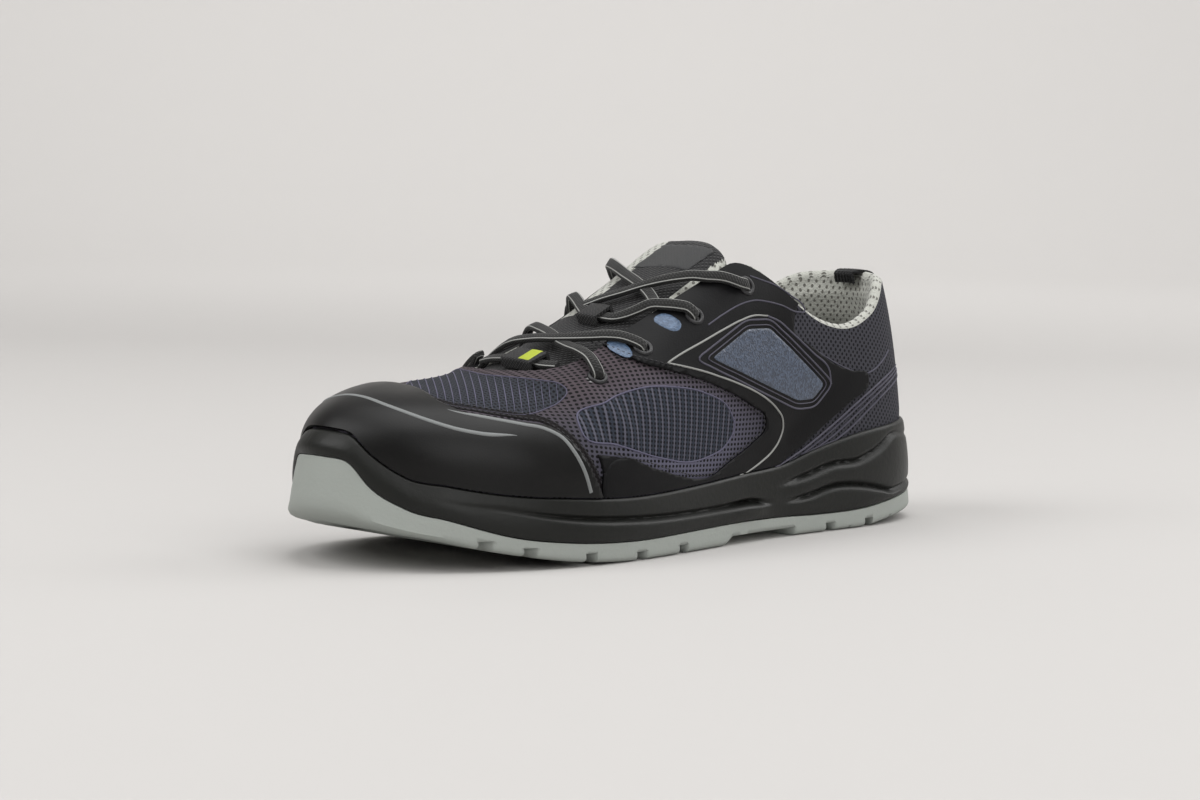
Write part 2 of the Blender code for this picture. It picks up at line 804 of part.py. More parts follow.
def outsole():
    """Tread cup with the toe bumper, cross grooves and raised arch."""
    rows = [
        plan_row(lambda r: -EDGE_ROUND, lambda r: r.sole("ground")),
        plan_row(lambda r: -EDGE_ROUND / 3, lambda r: r.sole("ground") + EDGE_ROUND * 0.4),
        plan_row(lambda r: 0.0, side_middle),
        plan_row(lambda r: -tuck(r), lambda r: r.sole("split")),
        plan_row(lambda r: -BUMPER_WALL, lambda r: r.sole("split")),
        plan_row(lambda r: -BUMPER_WALL, cup_floor),
    ]
    rubber = material("outsole_rubber", "#a3a8a2", 0.55)
    sole = add_object("outsole", *ring_solid(rows), rubber)
    reach = BALL_WIDTH
    arch = [
        (along(ARCH_BACK), -ARCH_RISE),
        (along(ARCH_BACK), ARCH_RISE),
        (along(ARCH_FRONT) + ARCH_SLOPE, ARCH_RISE),
        (along(ARCH_FRONT), -ARCH_RISE),
    ]
    boolean(sole, prism("cut_arch", arch, "X", -reach, reach), "DIFFERENCE")
    for k, place in enumerate(TREAD_GROOVES):
        ground = float(SOLE.at("ground", place)) * SOLE_HEIGHT
        y = along(place)
        chevron = [
            (-reach, y + TREAD_WIDTH / 2),
            (-reach, y - TREAD_WIDTH / 2),
            (-BALL_WIDTH / 4, y - TREAD_WIDTH / 2),
            (0.0, y - TREAD_WIDTH / 2 - TREAD_CHEVRON),
            (BALL_WIDTH / 4, y - TREAD_WIDTH / 2),
            (reach, y - TREAD_WIDTH / 2),
            (reach, y + TREAD_WIDTH / 2),
            (BALL_WIDTH / 4, y + TREAD_WIDTH / 2),
            (0.0, y + TREAD_WIDTH / 2 - TREAD_CHEVRON),
            (-BALL_WIDTH / 4, y + TREAD_WIDTH / 2),
        ]
        cutter = prism(f"cut_tread_{k}", chevron, "Z", -SOLE_HEIGHT, ground + TREAD_DEPTH)
        boolean(sole, cutter, "DIFFERENCE")


def side_row(height, depth):
    """Row on the midsole's side, leaning from the tucked split to the rim."""
    rows = []
    for side in (LATERAL, MEDIAL):
        line = []
        for r in ALL_RIBS[side]:
            z = height(r)
            rise = (z - r.sole("split")) / (r.sole("rim") - r.sole("split"))
            low = r.edge - r.normal * tuck(r) * (1 - rise) ** 2
            reach = r.radius_at(r.sole("rim")) + RIM_LIP
            x, y = low + (r.point(reach, r.sole("rim"))[:2] - low) * rise**SIDE_CURVE - r.normal * depth(r)
            line.append(np.array([x, y, z]))
        rows.append(line)
    return rows


def line_height(r, name):
    """Height of a moulded line on the midsole's side, kept between split and rim."""
    low, high = r.sole("split"), r.sole("rim")
    height = float(SIDE_LINES.at(name, r.foot_station())) * SOLE_HEIGHT
    margin = LINE_MARGIN * (high - low)
    return float(np.clip(height, low + margin, high - margin))


def line_depth(r, name):
    """Depth of a moulded line on the midsole's side."""
    return max(0.0, float(SIDE_LINES.at(name, r.foot_station()))) * GROOVE_DEPTH


def midsole():
    """Foam body with its moulded side, a rim around the upper and a bed inside."""

    def between(share):
        return lambda r: r.sole("split") + share * (line_height(r, "low") - r.sole("split"))

    def near(name, steps):
        """Height just under or over a moulded line."""
        def height(r):
            space = min(
                line_height(r, "low") - r.sole("split"),
                line_height(r, "high") - line_height(r, "low"),
                r.sole("rim") - line_height(r, "high"),
            )
            return line_height(r, name) + steps * min(GROOVE_HALF, LINE_SPACE * space)
        return height

    def none(r):
        return 0.0

    inner = BUMPER_WALL + FIT
    rows = [
        plan_row(lambda r: -inner, lambda r: cup_floor(r) + FIT),
        plan_row(lambda r: -inner, lambda r: r.sole("split") + FIT),
        plan_row(lambda r: -tuck(r), lambda r: r.sole("split") + FIT),
        side_row(between(SIDE_MIDDLE), lambda r: -LINE_SWELL * line_depth(r, "low")),
        side_row(near("low", -1), none),
        side_row(lambda r: line_height(r, "low"), lambda r: line_depth(r, "low")),
        side_row(near("low", 1), lambda r: LINE_FADE * line_depth(r, "low")),
        side_row(near("high", -1), lambda r: -LINE_FADE * line_depth(r, "high")),
        side_row(lambda r: line_height(r, "high"), lambda r: line_depth(r, "high")),
        side_row(near("high", 1), lambda r: LINE_FADE / 2 * line_depth(r, "high")),
        side_row(lambda r: r.sole("rim"), none),
        rib_row(lambda r: r.point(r.radius_at(r.sole("rim")) + FIT, r.sole("rim"))),
        rib_row(lambda r: r.point(r.radius + FIT, r.sole("bed"))),
    ]
    foam = material("midsole_foam", "#2b2c2a", 0.5)
    add_object("midsole", *ring_solid(rows), foam)


def insole():
    """Loose footbed inside the upper, with a rounded edge."""
    inset = WALL + 2 * FIT
    edge = INSOLE_THICKNESS * INSOLE_ROUND

    def level(inward, lift):
        return rib_row(lambda r: r.point(r.radius - inset - inward, r.sole("bed") + FIT + lift))

    rows = [
        level(0.0, FIT / 2),
        level(0.0, INSOLE_THICKNESS - edge),
        level(edge, INSOLE_THICKNESS),
    ]
    cloth = material("insole_cloth", "#77786f", 0.9)
    add_object("insole", *ring_solid(rows), cloth)


def surface_frame(side, station, reach):
    """Point and normal of the closed upper at a station and a distance from the ridge."""
    small = 1e-4
    behind, ahead = rib_at(side, station - small), rib_at(side, station + small)
    here = rib_at(side, station)
    point = here.point(reach, here.height_at(reach))
    forward = ahead.point(reach, ahead.height_at(reach)) - behind.point(reach, behind.height_at(reach))
    outward = here.point(reach + small, here.height_at(reach + small)) - point
    normal = np.cross(forward, outward) * SIDE_SIGN[side]
    return point, normal / np.linalg.norm(normal)


def outline_height(side, station, share):
    """Height of an outline's point, tied to the sole's rim below and to the instep above."""
    if side == MEDIAL:
        share -= float(MEDIAL_DROP.at("drop", station)) * float(smooth_step((share - DROP_LOW) / DROP_RISE))
    rim = RIM_LEVEL * SOLE_HEIGHT
    return rim + (share - RIM_SHARE) * (INSTEP_HEIGHT - rim) / (1 - RIM_SHARE)


def eyelet_place(side, station, height):
    """Surface point and outward normal of one eyelet."""
    reach = rib_at(side, station).radius_at(outline_height(side, station, height))
    return surface_frame(side, station, reach)


def frame_basis(axis):
    """Two directions square to an axis."""
    helper = np.array([0.0, 1.0, 0.0])
    first = np.cross(axis, helper)
    first /= np.linalg.norm(first)
    return first, np.cross(axis, first)


def eyelet_cutters():
    """Bores for the laces, square to the surface."""
    sides = EYELET_SIDES
    cutters = []
    for side in (LATERAL, MEDIAL):
        for k, (station, height) in enumerate(EYELETS):
            point, normal = eyelet_place(side, station, height)
            first, second = frame_basis(normal)
            rings = []
            for end in (-EYELET_CUT, EYELET_CUT):
                for step in range(sides):
                    turn = 2 * math.pi * step / sides
                    spoke = first * math.cos(turn) + second * math.sin(turn)
                    rings.append(point + normal * end + spoke * EYELET_BORE / 2)
            faces = [tuple(reversed(range(sides))), tuple(range(sides, 2 * sides))]
            for step in range(sides):
                after = (step + 1) % sides
                faces.append((step, after, sides + after, sides + step))
            cutter = add_object(f"cut_eyelet_{'lm'[side]}{k}", rings, faces)
            cutters.append((side, k, cutter))
    return cutters


def upper(cutters):
    """Hollow shell of the upper with a padded collar, open throat and eyelet bores."""
    skin = upper_skin()
    points, faces = skin.solid(-WALL - padding(skin), 0.0)
    mesh = material("upper_mesh", "#413d4a", 0.85)
    shell = add_object("upper", points, faces, mesh)
    for _, _, cutter in cutters:
        boolean(shell, cutter, "DIFFERENCE")


def side_outline(edge, side):
    """Side-view outline of an overlay in metres."""
    return [(along(station), outline_height(side, station, share)) for station, share in edge]


def toe_cap():
    """Moulded cap over the toe box, down to the sole's rim."""
    start = CAP_EDGE[0][0] - CAP_MARGIN
    first = min(k for k in range(RIB_COUNT) if ALL_RIBS[LATERAL][k].station > start)
    skin = overlay_skin(first, RIB_COUNT - 1, (LATERAL, MEDIAL))
    points, faces = skin.solid(FIT, FIT + TOE_CAP_THICKNESS)
    leather = material("toe_cap_film", "#232323", 0.38)
    cap = add_object("toe_cap", points, faces, leather)
    outline = side_outline(CAP_EDGE, LATERAL)
    outline += [(-LENGTH, outline[-1][1]), (-LENGTH, outline[0][1])]
    boolean(cap, prism("cut_toe_cap", outline, "X", -BALL_WIDTH, BALL_WIDTH), "INTERSECT")


def overlay_skin(first, last, sides):
    """Outer surface of the upper just above the sole's rim between two ribs."""
    grids = []
    for side in sides:
        grid = [r.profile(ROWS)[1:] for r in ALL_RIBS[side][first:last + 1]]
        for line in grid:
            step = line[1] - line[0]
            line[0] = line[0] + step * OVERLAY_LIFT / np.linalg.norm(step)
        grids.append(grid)
    return Skin(grids, [(-1, 1)[side] for side in sides])


def film_overlays(cutters):
    """Fused films over the quarters and eyestays, one on each side."""
    film = material("overlay_film", "#1f1f22", 0.45)
    for side, name in ((LATERAL, "film_overlay_lateral"), (MEDIAL, "film_overlay_medial")):
        stations = [r.station for r in ALL_RIBS[side]]
        first = max(k for k in range(RIB_COUNT) if stations[k] < FILM_BACK)
        last = min(k for k in range(RIB_COUNT) if stations[k] > FILM_AHEAD)
        skin = overlay_skin(first, last, (side,))
        points, faces = skin.solid(FIT, FIT + FILM_THICKNESS)
        overlay = add_object(name, points, faces, film)
        low, high = sorted((0.0, SIDE_SIGN[side] * BALL_WIDTH))
        outline = prism(f"cut_{name}", side_outline(FILM_EDGE, side), "X", low, high)
        boolean(overlay, outline, "INTERSECT")
        for cutter_side, row, cutter in cutters:
            if cutter_side == side and row > 0:
                boolean(overlay, cutter, "DIFFERENCE")


def tongue():
    """Padded tongue under the throat, rising above the eyestays."""
    grids = []
    stations = np.linspace(TONGUE_TOP, TONGUE_FRONT, TONGUE_RIBS)
    for side in (LATERAL, MEDIAL):
        grid = []
        for station in stations:
            r = rib_at(side, station)
            half = min(THROAT_HALF_TOP + TONGUE_OVERLAP, TONGUE_SIDE * r.radius)
            corner = 1 - min(1.0, (station - TONGUE_TOP) * LENGTH / TONGUE_CORNER)
            half -= TONGUE_CORNER * (1 - math.sqrt(1 - corner**2))
            reach = np.linspace(half, 0.0, TONGUE_COLUMNS)
            grid.append([r.point(d, r.height_at(d)) for d in reach])
        grids.append(grid)
    skin = Skin(grids, (-1, 1))
    drop = np.zeros(len(skin.points))
    for k, index in enumerate(skin.place):
        sideways = 1 - (k % TONGUE_COLUMNS) / (TONGUE_COLUMNS - 1)
        forward = (k // TONGUE_COLUMNS % TONGUE_RIBS) / (TONGUE_RIBS - 1)
        drop[index] = WALL + TONGUE_GAP + TONGUE_DIP * sideways**2 + TONGUE_SINK * forward**4
    points, faces = skin.solid(-drop - TONGUE_THICKNESS, -drop)
    cloth = material("tongue_cloth", "#2c2a30", 0.8)
    add_object("tongue", points, faces, cloth)


def swept_faces(count, size):
    """Faces of a section of so many points swept in so many steps, with end caps."""
    faces = [tuple(reversed(range(size))), tuple(range(size * (count - 1), size * count))]
    for k in range(count - 1):
        for i in range(size):
            j = (i + 1) % size
            low, high = k * size, (k + 1) * size
            faces += [(low + i, low + j, high + j), (low + i, high + j, high + i)]
    return faces


def lace_point(station, turn, lift):
    """Point and normal over the closed upper, at a share of the way to an eyelet row."""
    side = LATERAL if turn >= 0 else MEDIAL
    stations = [row[0] for row in EYELETS][::-1]
    heights = [row[1] for row in EYELETS][::-1]
    r = rib_at(side, station)
    share = float(np.interp(station, stations, heights))
    reach = abs(turn) * r.radius_at(outline_height(side, station, share))
    point, normal = surface_frame(side, station, max(reach, 1e-4))
    return point + normal * lift * LACE_THICKNESS, normal


def lace_run(name, places):
    """Flat lace swept along hand-placed points, with a six-sided section."""
    knots = [lace_point(*place) for place in places]
    centre = np.array([k[0] for k in knots])
    normal = np.array([k[1] for k in knots])
    run = np.concatenate([[0.0], np.cumsum(np.linalg.norm(np.diff(centre, axis=0), axis=1))])
    tables = [Table("run value", np.stack([run, column], 1)) for column in (*centre.T, *normal.T)]
    steps = max(LACE_LEAST, round(run[-1] / LACE_STEP))
    even = np.linspace(0, run[-1], steps)
    values = np.stack([table.at("value", even) for table in tables], 1)
    path, up = values[:, :3], values[:, 3:]
    points = []
    for k in range(steps):
        ahead = path[min(k + 1, steps - 1)] - path[max(k - 1, 0)]
        ahead /= np.linalg.norm(ahead)
        across = np.cross(ahead, up[k])
        across /= np.linalg.norm(across)
        rise = np.cross(across, ahead)
        points += [path[k] + across * a * LACE_WIDTH + rise * b * LACE_THICKNESS for a, b in LACE_SECTION]
    return points, swept_faces(steps, len(LACE_SECTION))


def laces():
    """Crossings of the flat lace over the throat, joined where they touch."""
    cord = material("lace_cord", "#2b2b29", 0.8)
    for name, runs in LACE_RUNS.items():
        whole = add_object(name, *lace_run(name, runs[0]), cord)
        for k, places in enumerate(runs[1:]):
            other = add_object(f"join_{name}_{k}", *lace_run(name, places))
            boolean(whole, other, "UNION")


def bridge(name, place, width, mat):
    """Webbing sewn over the lace on the tongue: an arch along the foot, wide across it."""
    station, middle, lift = place
    roof = (lift + 0.5) * LACE_THICKNESS + FIT
    foot = -WALL - TONGUE_GAP + FIT
    half = BRIDGE_LENGTH / 2
    section = [
        (-half, foot),
        (-half, roof + WEBBING * 0.5),
        (-half + WEBBING * 0.5, roof + WEBBING),
        (half - WEBBING * 0.5, roof + WEBBING),
        (half, roof + WEBBING * 0.5),
        (half, foot),
        (half - WEBBING, foot),
        (half - WEBBING, roof),
        (-half + WEBBING, roof),
        (-half + WEBBING, foot),
    ]
    size = len(section)
    points = []
    for k in range(BRIDGE_COLUMNS):
        offset = middle + (k / (BRIDGE_COLUMNS - 1) - 0.5) * width
        side = LATERAL if offset >= 0 else MEDIAL
        for shift, height in section:
            point, normal = surface_frame(side, station + shift / LENGTH, max(abs(offset), 1e-4))
            points.append(point + normal * height)
    add_object(name, points, swept_faces(BRIDGE_COLUMNS, size), mat)


def pull_tab():
    """Folded webbing over the top of the heel."""
    outline = OUTLINE.samples[LATERAL][1]
    reach = TAB_WIDTH / 2 / float(np.linalg.norm(np.diff(outline, axis=0), axis=1).sum())
    columns = [(MEDIAL, 1.0), (MEDIAL, 0.5), (LATERAL, 0.0), (LATERAL, 0.5), (LATERAL, 1.0)]
    wall = WALL + COLLAR_PADDING
    gap = FIT * 2
    points = []
    for side, part in columns:
        r = rib(side, part * reach)
        top = r.top()
        out_low = r.radius_at(top - TAB_LEG) + gap
        out_top = r.radius_at(top) + gap
        in_top = r.radius_at(top) - wall - gap
        in_low = r.radius_at(top - TAB_INNER_LEG) - wall - gap
        section = [
            (out_low + WEBBING, top - TAB_LEG),
            (out_top + WEBBING, top),
            (out_top, top + gap + WEBBING),
            (in_top, top + gap + WEBBING),
            (in_top - WEBBING, top),
            (in_low - WEBBING, top - TAB_INNER_LEG),
            (in_low, top - TAB_INNER_LEG),
            (in_top, top + gap),
            (out_top, top + gap),
            (out_low, top - TAB_LEG),
        ]
        points += [r.point(a, b) for a, b in section]
    count = len(columns)
    size = len(section)
    webbing = material("pull_tab_webbing", "#202022", 0.8)
    add_object("pull_tab", points, swept_faces(count, size), webbing)


def main():
    """Build every piece of the shoe."""
    set_scene_empty()
    cutters = eyelet_cutters()
    outsole()
    midsole()
    insole()
    upper(cutters)
    toe_cap()
    film_overlays(cutters)
    tongue()
    laces()
    webbing = material("keeper_webbing", "#26262a", 0.8)
    bridge("lace_keeper", KEEPER_PLACE, KEEPER_WIDTH, webbing)
    bridge("throat_tag", TAG_PLACE, TAG_WIDTH, webbing)
    pull_tab()


main()
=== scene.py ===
"""Looks of the safety sneaker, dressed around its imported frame.

Lengths are in metres. The toe points along -Y, the outer side of the foot faces +X and +Z is up.
A station is a share of the sole's length, 0 at the heel and 1 at the toe.
"""

import logging
import math
from dataclasses import dataclass, field
from enum import Enum, IntEnum
from functools import reduce
from typing import Callable, Iterable, Sequence

import bpy
import numpy as np
from bpy.types import Material, Node, NodeSocket, NodeTree, Object
from mathutils import Matrix, Vector
from mathutils.bvhtree import BVHTree
from mathutils.geometry import delaunay_2d_cdt


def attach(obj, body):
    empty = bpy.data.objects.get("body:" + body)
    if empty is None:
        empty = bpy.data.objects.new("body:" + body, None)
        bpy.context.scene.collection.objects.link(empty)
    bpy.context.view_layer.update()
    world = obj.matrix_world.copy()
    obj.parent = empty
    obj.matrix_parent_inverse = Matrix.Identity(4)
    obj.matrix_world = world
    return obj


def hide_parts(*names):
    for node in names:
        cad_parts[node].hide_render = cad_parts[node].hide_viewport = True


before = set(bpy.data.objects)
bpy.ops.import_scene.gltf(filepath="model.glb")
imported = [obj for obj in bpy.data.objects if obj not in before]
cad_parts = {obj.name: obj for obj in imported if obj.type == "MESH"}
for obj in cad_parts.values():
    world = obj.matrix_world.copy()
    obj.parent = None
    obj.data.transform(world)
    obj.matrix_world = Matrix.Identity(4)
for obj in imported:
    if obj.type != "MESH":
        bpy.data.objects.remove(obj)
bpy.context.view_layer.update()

LOG = logging.getLogger("sneaker")
Array = np.ndarray
Knots = Sequence[tuple[float, float]]
Faces = list[tuple[int, ...]]
MM = 0.001
BODY = "root"


class Side(IntEnum):
    """Side of the foot."""

    LATERAL = 0
    MEDIAL = 1

    @property
    def sign(self) -> float:
        """Direction of the side along X."""
        return 1.0 if self is Side.LATERAL else -1.0

    @property
    def word(self) -> str:
        """The side's name as it stands in the pieces' names."""
        return self.name.lower()

    @classmethod
    def of(cls, across: float) -> "Side":
        """Side on which a distance across the foot lies."""
        return cls.LATERAL if across >= 0 else cls.MEDIAL


class Layer(IntEnum):
    """Where a face of a wall lies."""

    OUTSIDE = 0
    INSIDE = 1
    LIP = 2
    INNER_LIP = 3


class View(Enum):
    """Direction from which a flat outline is laid on the shoe."""

    SIDE = "side"
    TOP = "top"


# Tables and curves


class Table:
    """Smooth curves through the named columns of a short table, over its first column."""

    def __init__(self, columns: str, rows: Sequence[Sequence[float]]) -> None:
        """Keep the columns' names and rows.

        Args:
            columns: Names of the columns, parted by spaces.
            rows: Numbers, a row for each place.
        """
        self.names = columns.split()
        self.rows = np.array(rows, float)

    def at(self, name: str, where: Array) -> Array:
        """Read a column.

        Args:
            name: The column's name.
            where: Place or places in the first column.

        Returns:
            The value at each place.
        """
        x = self.rows[:, 0]
        y = self.rows[:, self.names.index(name)]
        step = np.diff(x)
        slope = np.diff(y) / step
        tangent = np.empty(len(x))
        tangent[0] = slope[0]
        tangent[-1] = slope[-1]
        tangent[1:-1] = (slope[:-1] * step[1:] + slope[1:] * step[:-1]) / (step[:-1] + step[1:])
        q = np.clip(where, x[0], x[-1])
        k = np.clip(np.searchsorted(x, q, side="right") - 1, 0, len(step) - 1)
        u = (q - x[k]) / step[k]
        start = (2 * u**3 - 3 * u**2 + 1) * y[k] + (u**3 - 2 * u**2 + u) * step[k] * tangent[k]
        end = (3 * u**2 - 2 * u**3) * y[k + 1] + (u**3 - u**2) * step[k] * tangent[k + 1]
        return start + end


# Half widths of the sole on each side, as shares of half the ball width
PLAN = Table("station lateral medial", [
    (0.015, 0.31, 0.31), (0.060, 0.55, 0.55), (0.140, 0.69, 0.67), (0.260, 0.73, 0.69),
    (0.400, 0.79, 0.66), (0.520, 0.90, 0.70), (0.640, 1.00, 0.86), (0.740, 1.00, 0.96),
    (0.830, 0.89, 0.95), (0.905, 0.70, 0.80), (0.960, 0.44, 0.545),
])

# Heights of the sole as shares of its height at the heel, and the tuck of its side
SOLE = Table("station ground split rim bed tuck", [
    (0.000, 0.125, 0.33, 1.01, 0.66, 0.3), (0.120, 0.045, 0.23, 0.97, 0.65, 0.2),
    (0.170, 0.000, 0.19, 0.94, 0.64, 0.2), (0.270, 0.000, 0.175, 0.81, 0.60, 0.2),
    (0.335, 0.000, 0.19, 0.695, 0.54, 0.2), (0.420, 0.000, 0.20, 0.645, 0.47, 0.2),
    (0.540, 0.000, 0.19, 0.59, 0.40, 0.2), (0.660, 0.000, 0.18, 0.57, 0.37, 0.2),
    (0.760, 0.055, 0.22, 0.61, 0.39, 0.2), (0.830, 0.135, 0.29, 0.65, 0.43, 0.2),
    (0.905, 0.245, 0.455, 0.745, 0.51, 0.4), (0.947, 0.300, 0.56, 0.825, 0.55, 0.6),
    (0.975, 0.340, 0.75, 1.02, 0.58, 0.8), (0.988, 0.355, 0.94, 1.16, 0.59, 0.9),
    (1.000, 0.375, 0.975, 1.195, 0.60, 1.0),
])

# Moulded lines along the midsole's side: heights as shares of the sole's height, and depths
SIDE_LINES = Table("station low low_depth high high_depth", [
    (0.000, 0.42, 0.4, 0.80, 0.2), (0.060, 0.37, 0.6, 0.86, 0.4), (0.105, 0.315, 0.9, 0.88, 0.8),
    (0.140, 0.365, 1.0, 0.77, 1.0), (0.190, 0.425, 1.0, 0.665, 1.0), (0.240, 0.44, 1.0, 0.65, 1.0),
    (0.295, 0.37, 0.9, 0.565, 1.0), (0.345, 0.34, 0.1, 0.51, 0.1), (0.375, 0.35, 0.3, 0.50, 0.0),
    (0.400, 0.375, 1.4, 0.51, 0.0), (0.470, 0.365, 1.0, 0.49, 0.0), (0.650, 0.38, 1.0, 0.475, 0.0),
    (0.750, 0.433, 0.9, 0.52, 0.0), (0.840, 0.53, 0.4, 0.60, 0.0), (0.920, 0.65, 0.0, 0.72, 0.0),
    (1.000, 1.05, 0.0, 1.12, 0.0),
])

# Closed upper: ridge as a share of the instep height, roundness on each side, and the ridge's
# place across the foot as a share of half the ball width
UPPER = Table("station ridge lateral medial across", [
    (0.13, 1.255, 2.4, 2.4, 0.00), (0.25, 1.182, 2.5, 2.9, -0.01), (0.33, 1.109, 2.9, 4.5, -0.01),
    (0.40, 1.027, 3.1, 5.0, -0.02), (0.46, 0.936, 3.0, 4.5, -0.02), (0.56, 0.791, 2.6, 3.1, -0.045),
    (0.66, 0.668, 2.4, 2.4, -0.055), (0.74, 0.586, 2.25, 2.25, -0.11), (0.82, 0.555, 2.45, 2.45, -0.185),
])

# Foot of the upper: inset from the outline as a share of the inset, and where it is widest
FOOT = Table("station inset widest", [
    (0.00, 1.33, 1.10), (0.10, 1.11, 1.07), (0.40, 1.00, 0.80), (0.60, 1.00, 0.70),
    (0.80, 1.00, 0.75), (0.92, 1.29, 0.87), (1.00, 1.44, 1.00),
])

# Collar line on each side as a share of the collar height
COLLAR = Table("station lateral medial", [
    (0.00, 1.000, 1.000), (0.06, 0.970, 0.980), (0.13, 0.856, 0.907), (0.19, 0.804, 0.856),
    (0.25, 0.835, 0.897), (0.30, 0.918, 0.969), (0.35, 1.010, 1.031), (0.39, 1.072, 1.072),
    (0.44, 1.155, 1.155),
])


def smooth_step(value: Array) -> Array:
    """Smooth ramp from 0 to 1."""
    u = np.clip(value, 0.0, 1.0)
    return u * u * (3 - 2 * u)


def smooth_min(a: Array, b: Array, radius: float) -> Array:
    """Smaller of two values with a rounded change-over."""
    h = np.clip(0.5 + 0.5 * (b - a) / radius, 0, 1)
    return b * (1 - h) + a * h - radius * h * (1 - h)


def unit(rows: Array) -> Array:
    """Rows of vectors scaled to length one."""
    size = np.linalg.norm(rows, axis=-1, keepdims=True)
    return rows / np.maximum(size, 1e-12)


def line_run(points: Array) -> Array:
    """Distance along a line at each of its points."""
    return np.concatenate([[0.0], np.cumsum(np.linalg.norm(np.diff(points, axis=0), axis=1))])


def between(where: Array, places: Array, rows: Array) -> Array:
    """Rows read at and between their places."""
    return np.stack([np.interp(where, places, column) for column in rows.T], 1)


def resample(points: Array, spacing: float) -> Array:
    """Put points on a line at even distances.

    Args:
        points: The line's points, in two or three dimensions.
        spacing: Wanted distance between them.

    Returns:
        The new points, with the same ends.
    """
    run = line_run(points)
    count = max(2, int(round(run[-1] / spacing)) + 1)
    return between(np.linspace(0, run[-1], count), run, points)


def smooth_line(knots: Sequence[Sequence[float]], closed: bool = False, fine: int = 12) -> Array:
    """Smooth line through knots, with a corner where a knot is given twice.

    Args:
        knots: Points of the line.
        closed: Whether the line ends where it began.
        fine: Points between two knots.

    Returns:
        Points along the line; a closed line's first point isn't repeated.
    """
    knots = [np.array(k, float) for k in knots]
    corners = [k for k in range(1, len(knots)) if np.allclose(knots[k], knots[k - 1])]
    keep = [k for k in range(len(knots)) if k not in corners]
    corner = {keep.index(k - 1) for k in corners}
    ring = [knots[k] for k in keep]
    count = len(ring)

    def tangent(k: int) -> Array:
        """Direction of the line at a knot, or zero at a corner or an end."""
        if k in corner or (not closed and k in (0, count - 1)):
            return np.zeros_like(ring[0])
        after, before = ring[(k + 1) % count], ring[k - 1]
        ahead, behind = np.linalg.norm(after - ring[k]), np.linalg.norm(ring[k] - before)
        slope = (after - ring[k]) / ahead * behind + (ring[k] - before) / behind * ahead
        return slope / (ahead + behind)

    points = []
    for k in range(count if closed else count - 1):
        a, b = ring[k], ring[(k + 1) % count]
        size = np.linalg.norm(b - a)
        first, last = tangent(k), tangent((k + 1) % count)
        straight = (b - a) / size
        first = straight if not first.any() else first
        last = straight if not last.any() else last
        for u in np.arange(fine) / fine:
            start = (2 * u**3 - 3 * u**2 + 1) * a + (u**3 - 2 * u**2 + u) * size * first
            points.append(start + (3 * u**2 - 2 * u**3) * b + (u**3 - u**2) * size * last)
    if not closed:
        points.append(ring[-1])
    return np.array(points)


def inside(points: Array, loop: Array) -> Array:
    """Tell which flat points lie inside a loop.

    Args:
        points: Flat points.
        loop: The loop's corners.

    Returns:
        True for each point inside.
    """
    x, y = points[:, 0], points[:, 1]
    hit = np.zeros(len(points), bool)
    for (ax, ay), (bx, by) in zip(loop, np.roll(loop, -1, axis=0)):
        crosses = (ay > y) != (by > y)
        with np.errstate(divide="ignore", invalid="ignore"):
            place = (bx - ax) * (y - ay) / (by - ay) + ax
        hit ^= crosses & (x < place)
    return hit


def line_distance(points: Array, line: Array) -> Array:
    """Distance of points from a broken line in space."""
    best = np.full(len(points), 1e9)
    for a, b in zip(line[:-1], line[1:]):
        along = b - a
        t = np.clip(((points - a) @ along) / (along @ along), 0, 1)
        best = np.minimum(best, np.linalg.norm(points - a - t[:, None] * along, axis=1))
    return best


# Meshes


@dataclass
class Mesh:
    """Points and faces of a piece, with a cloth map in metres and a finish for each face."""

    points: Array
    faces: Faces
    corners: list[tuple[tuple[float, float], ...]] = field(default_factory=list)
    finish: list[int] = field(default_factory=list)

    def joined(self, other: "Mesh") -> "Mesh":
        """Mesh of this one and another.

        Args:
            other: The mesh to add.

        Returns:
            One mesh of both.
        """
        base = len(self.points)
        return Mesh(
            np.vstack([self.points, other.points]),
            self.faces + [tuple(k + base for k in face) for face in other.faces],
            self.corners + other.corners,
            self.finish + other.finish,
        )


def merged(meshes: Iterable[Mesh]) -> Mesh:
    """One mesh of several."""
    return reduce(Mesh.joined, meshes)


def border_edges(faces: Faces) -> list[tuple[int, int]]:
    """Edges that belong to one face."""
    seen = {(a, b) for face in faces for a, b in zip(face, face[1:] + face[:1])}
    return [(a, b) for a, b in seen if (b, a) not in seen]


def counter_clockwise(outline: Array) -> Array:
    """Flat outline with its points in counter-clockwise order."""
    following = np.roll(outline, -1, axis=0)
    area = (outline[:, 0] * following[:, 1] - following[:, 0] * outline[:, 1]).sum()
    return outline[::-1] if area < 0 else outline


def build_object(name: str, mesh: Mesh, materials: Sequence[Material], angle: float = 40) -> Object:
    """Make a Blender object.

    Args:
        name: The object's name.
        mesh: Its points and faces.
        materials: Its finishes, in the order of the mesh's finish numbers.
        angle: Edges sharper than this many degrees stay sharp.

    Returns:
        The object, in the scene.
    """
    data = bpy.data.meshes.new(name)
    data.from_pydata(mesh.points.tolist(), [], mesh.faces)
    if mesh.corners:
        layer = data.uv_layers.new(name="cloth")
        layer.data.foreach_set("uv", np.array([c for ring in mesh.corners for c in ring]).ravel())
    for finish in materials:
        data.materials.append(finish)
    if mesh.finish:
        data.polygons.foreach_set("material_index", mesh.finish)
    data.shade_smooth()
    data.set_sharp_from_angle(angle=math.radians(angle))
    data.update()
    thing = bpy.data.objects.new(name, data)
    bpy.context.scene.collection.objects.link(thing)
    return thing


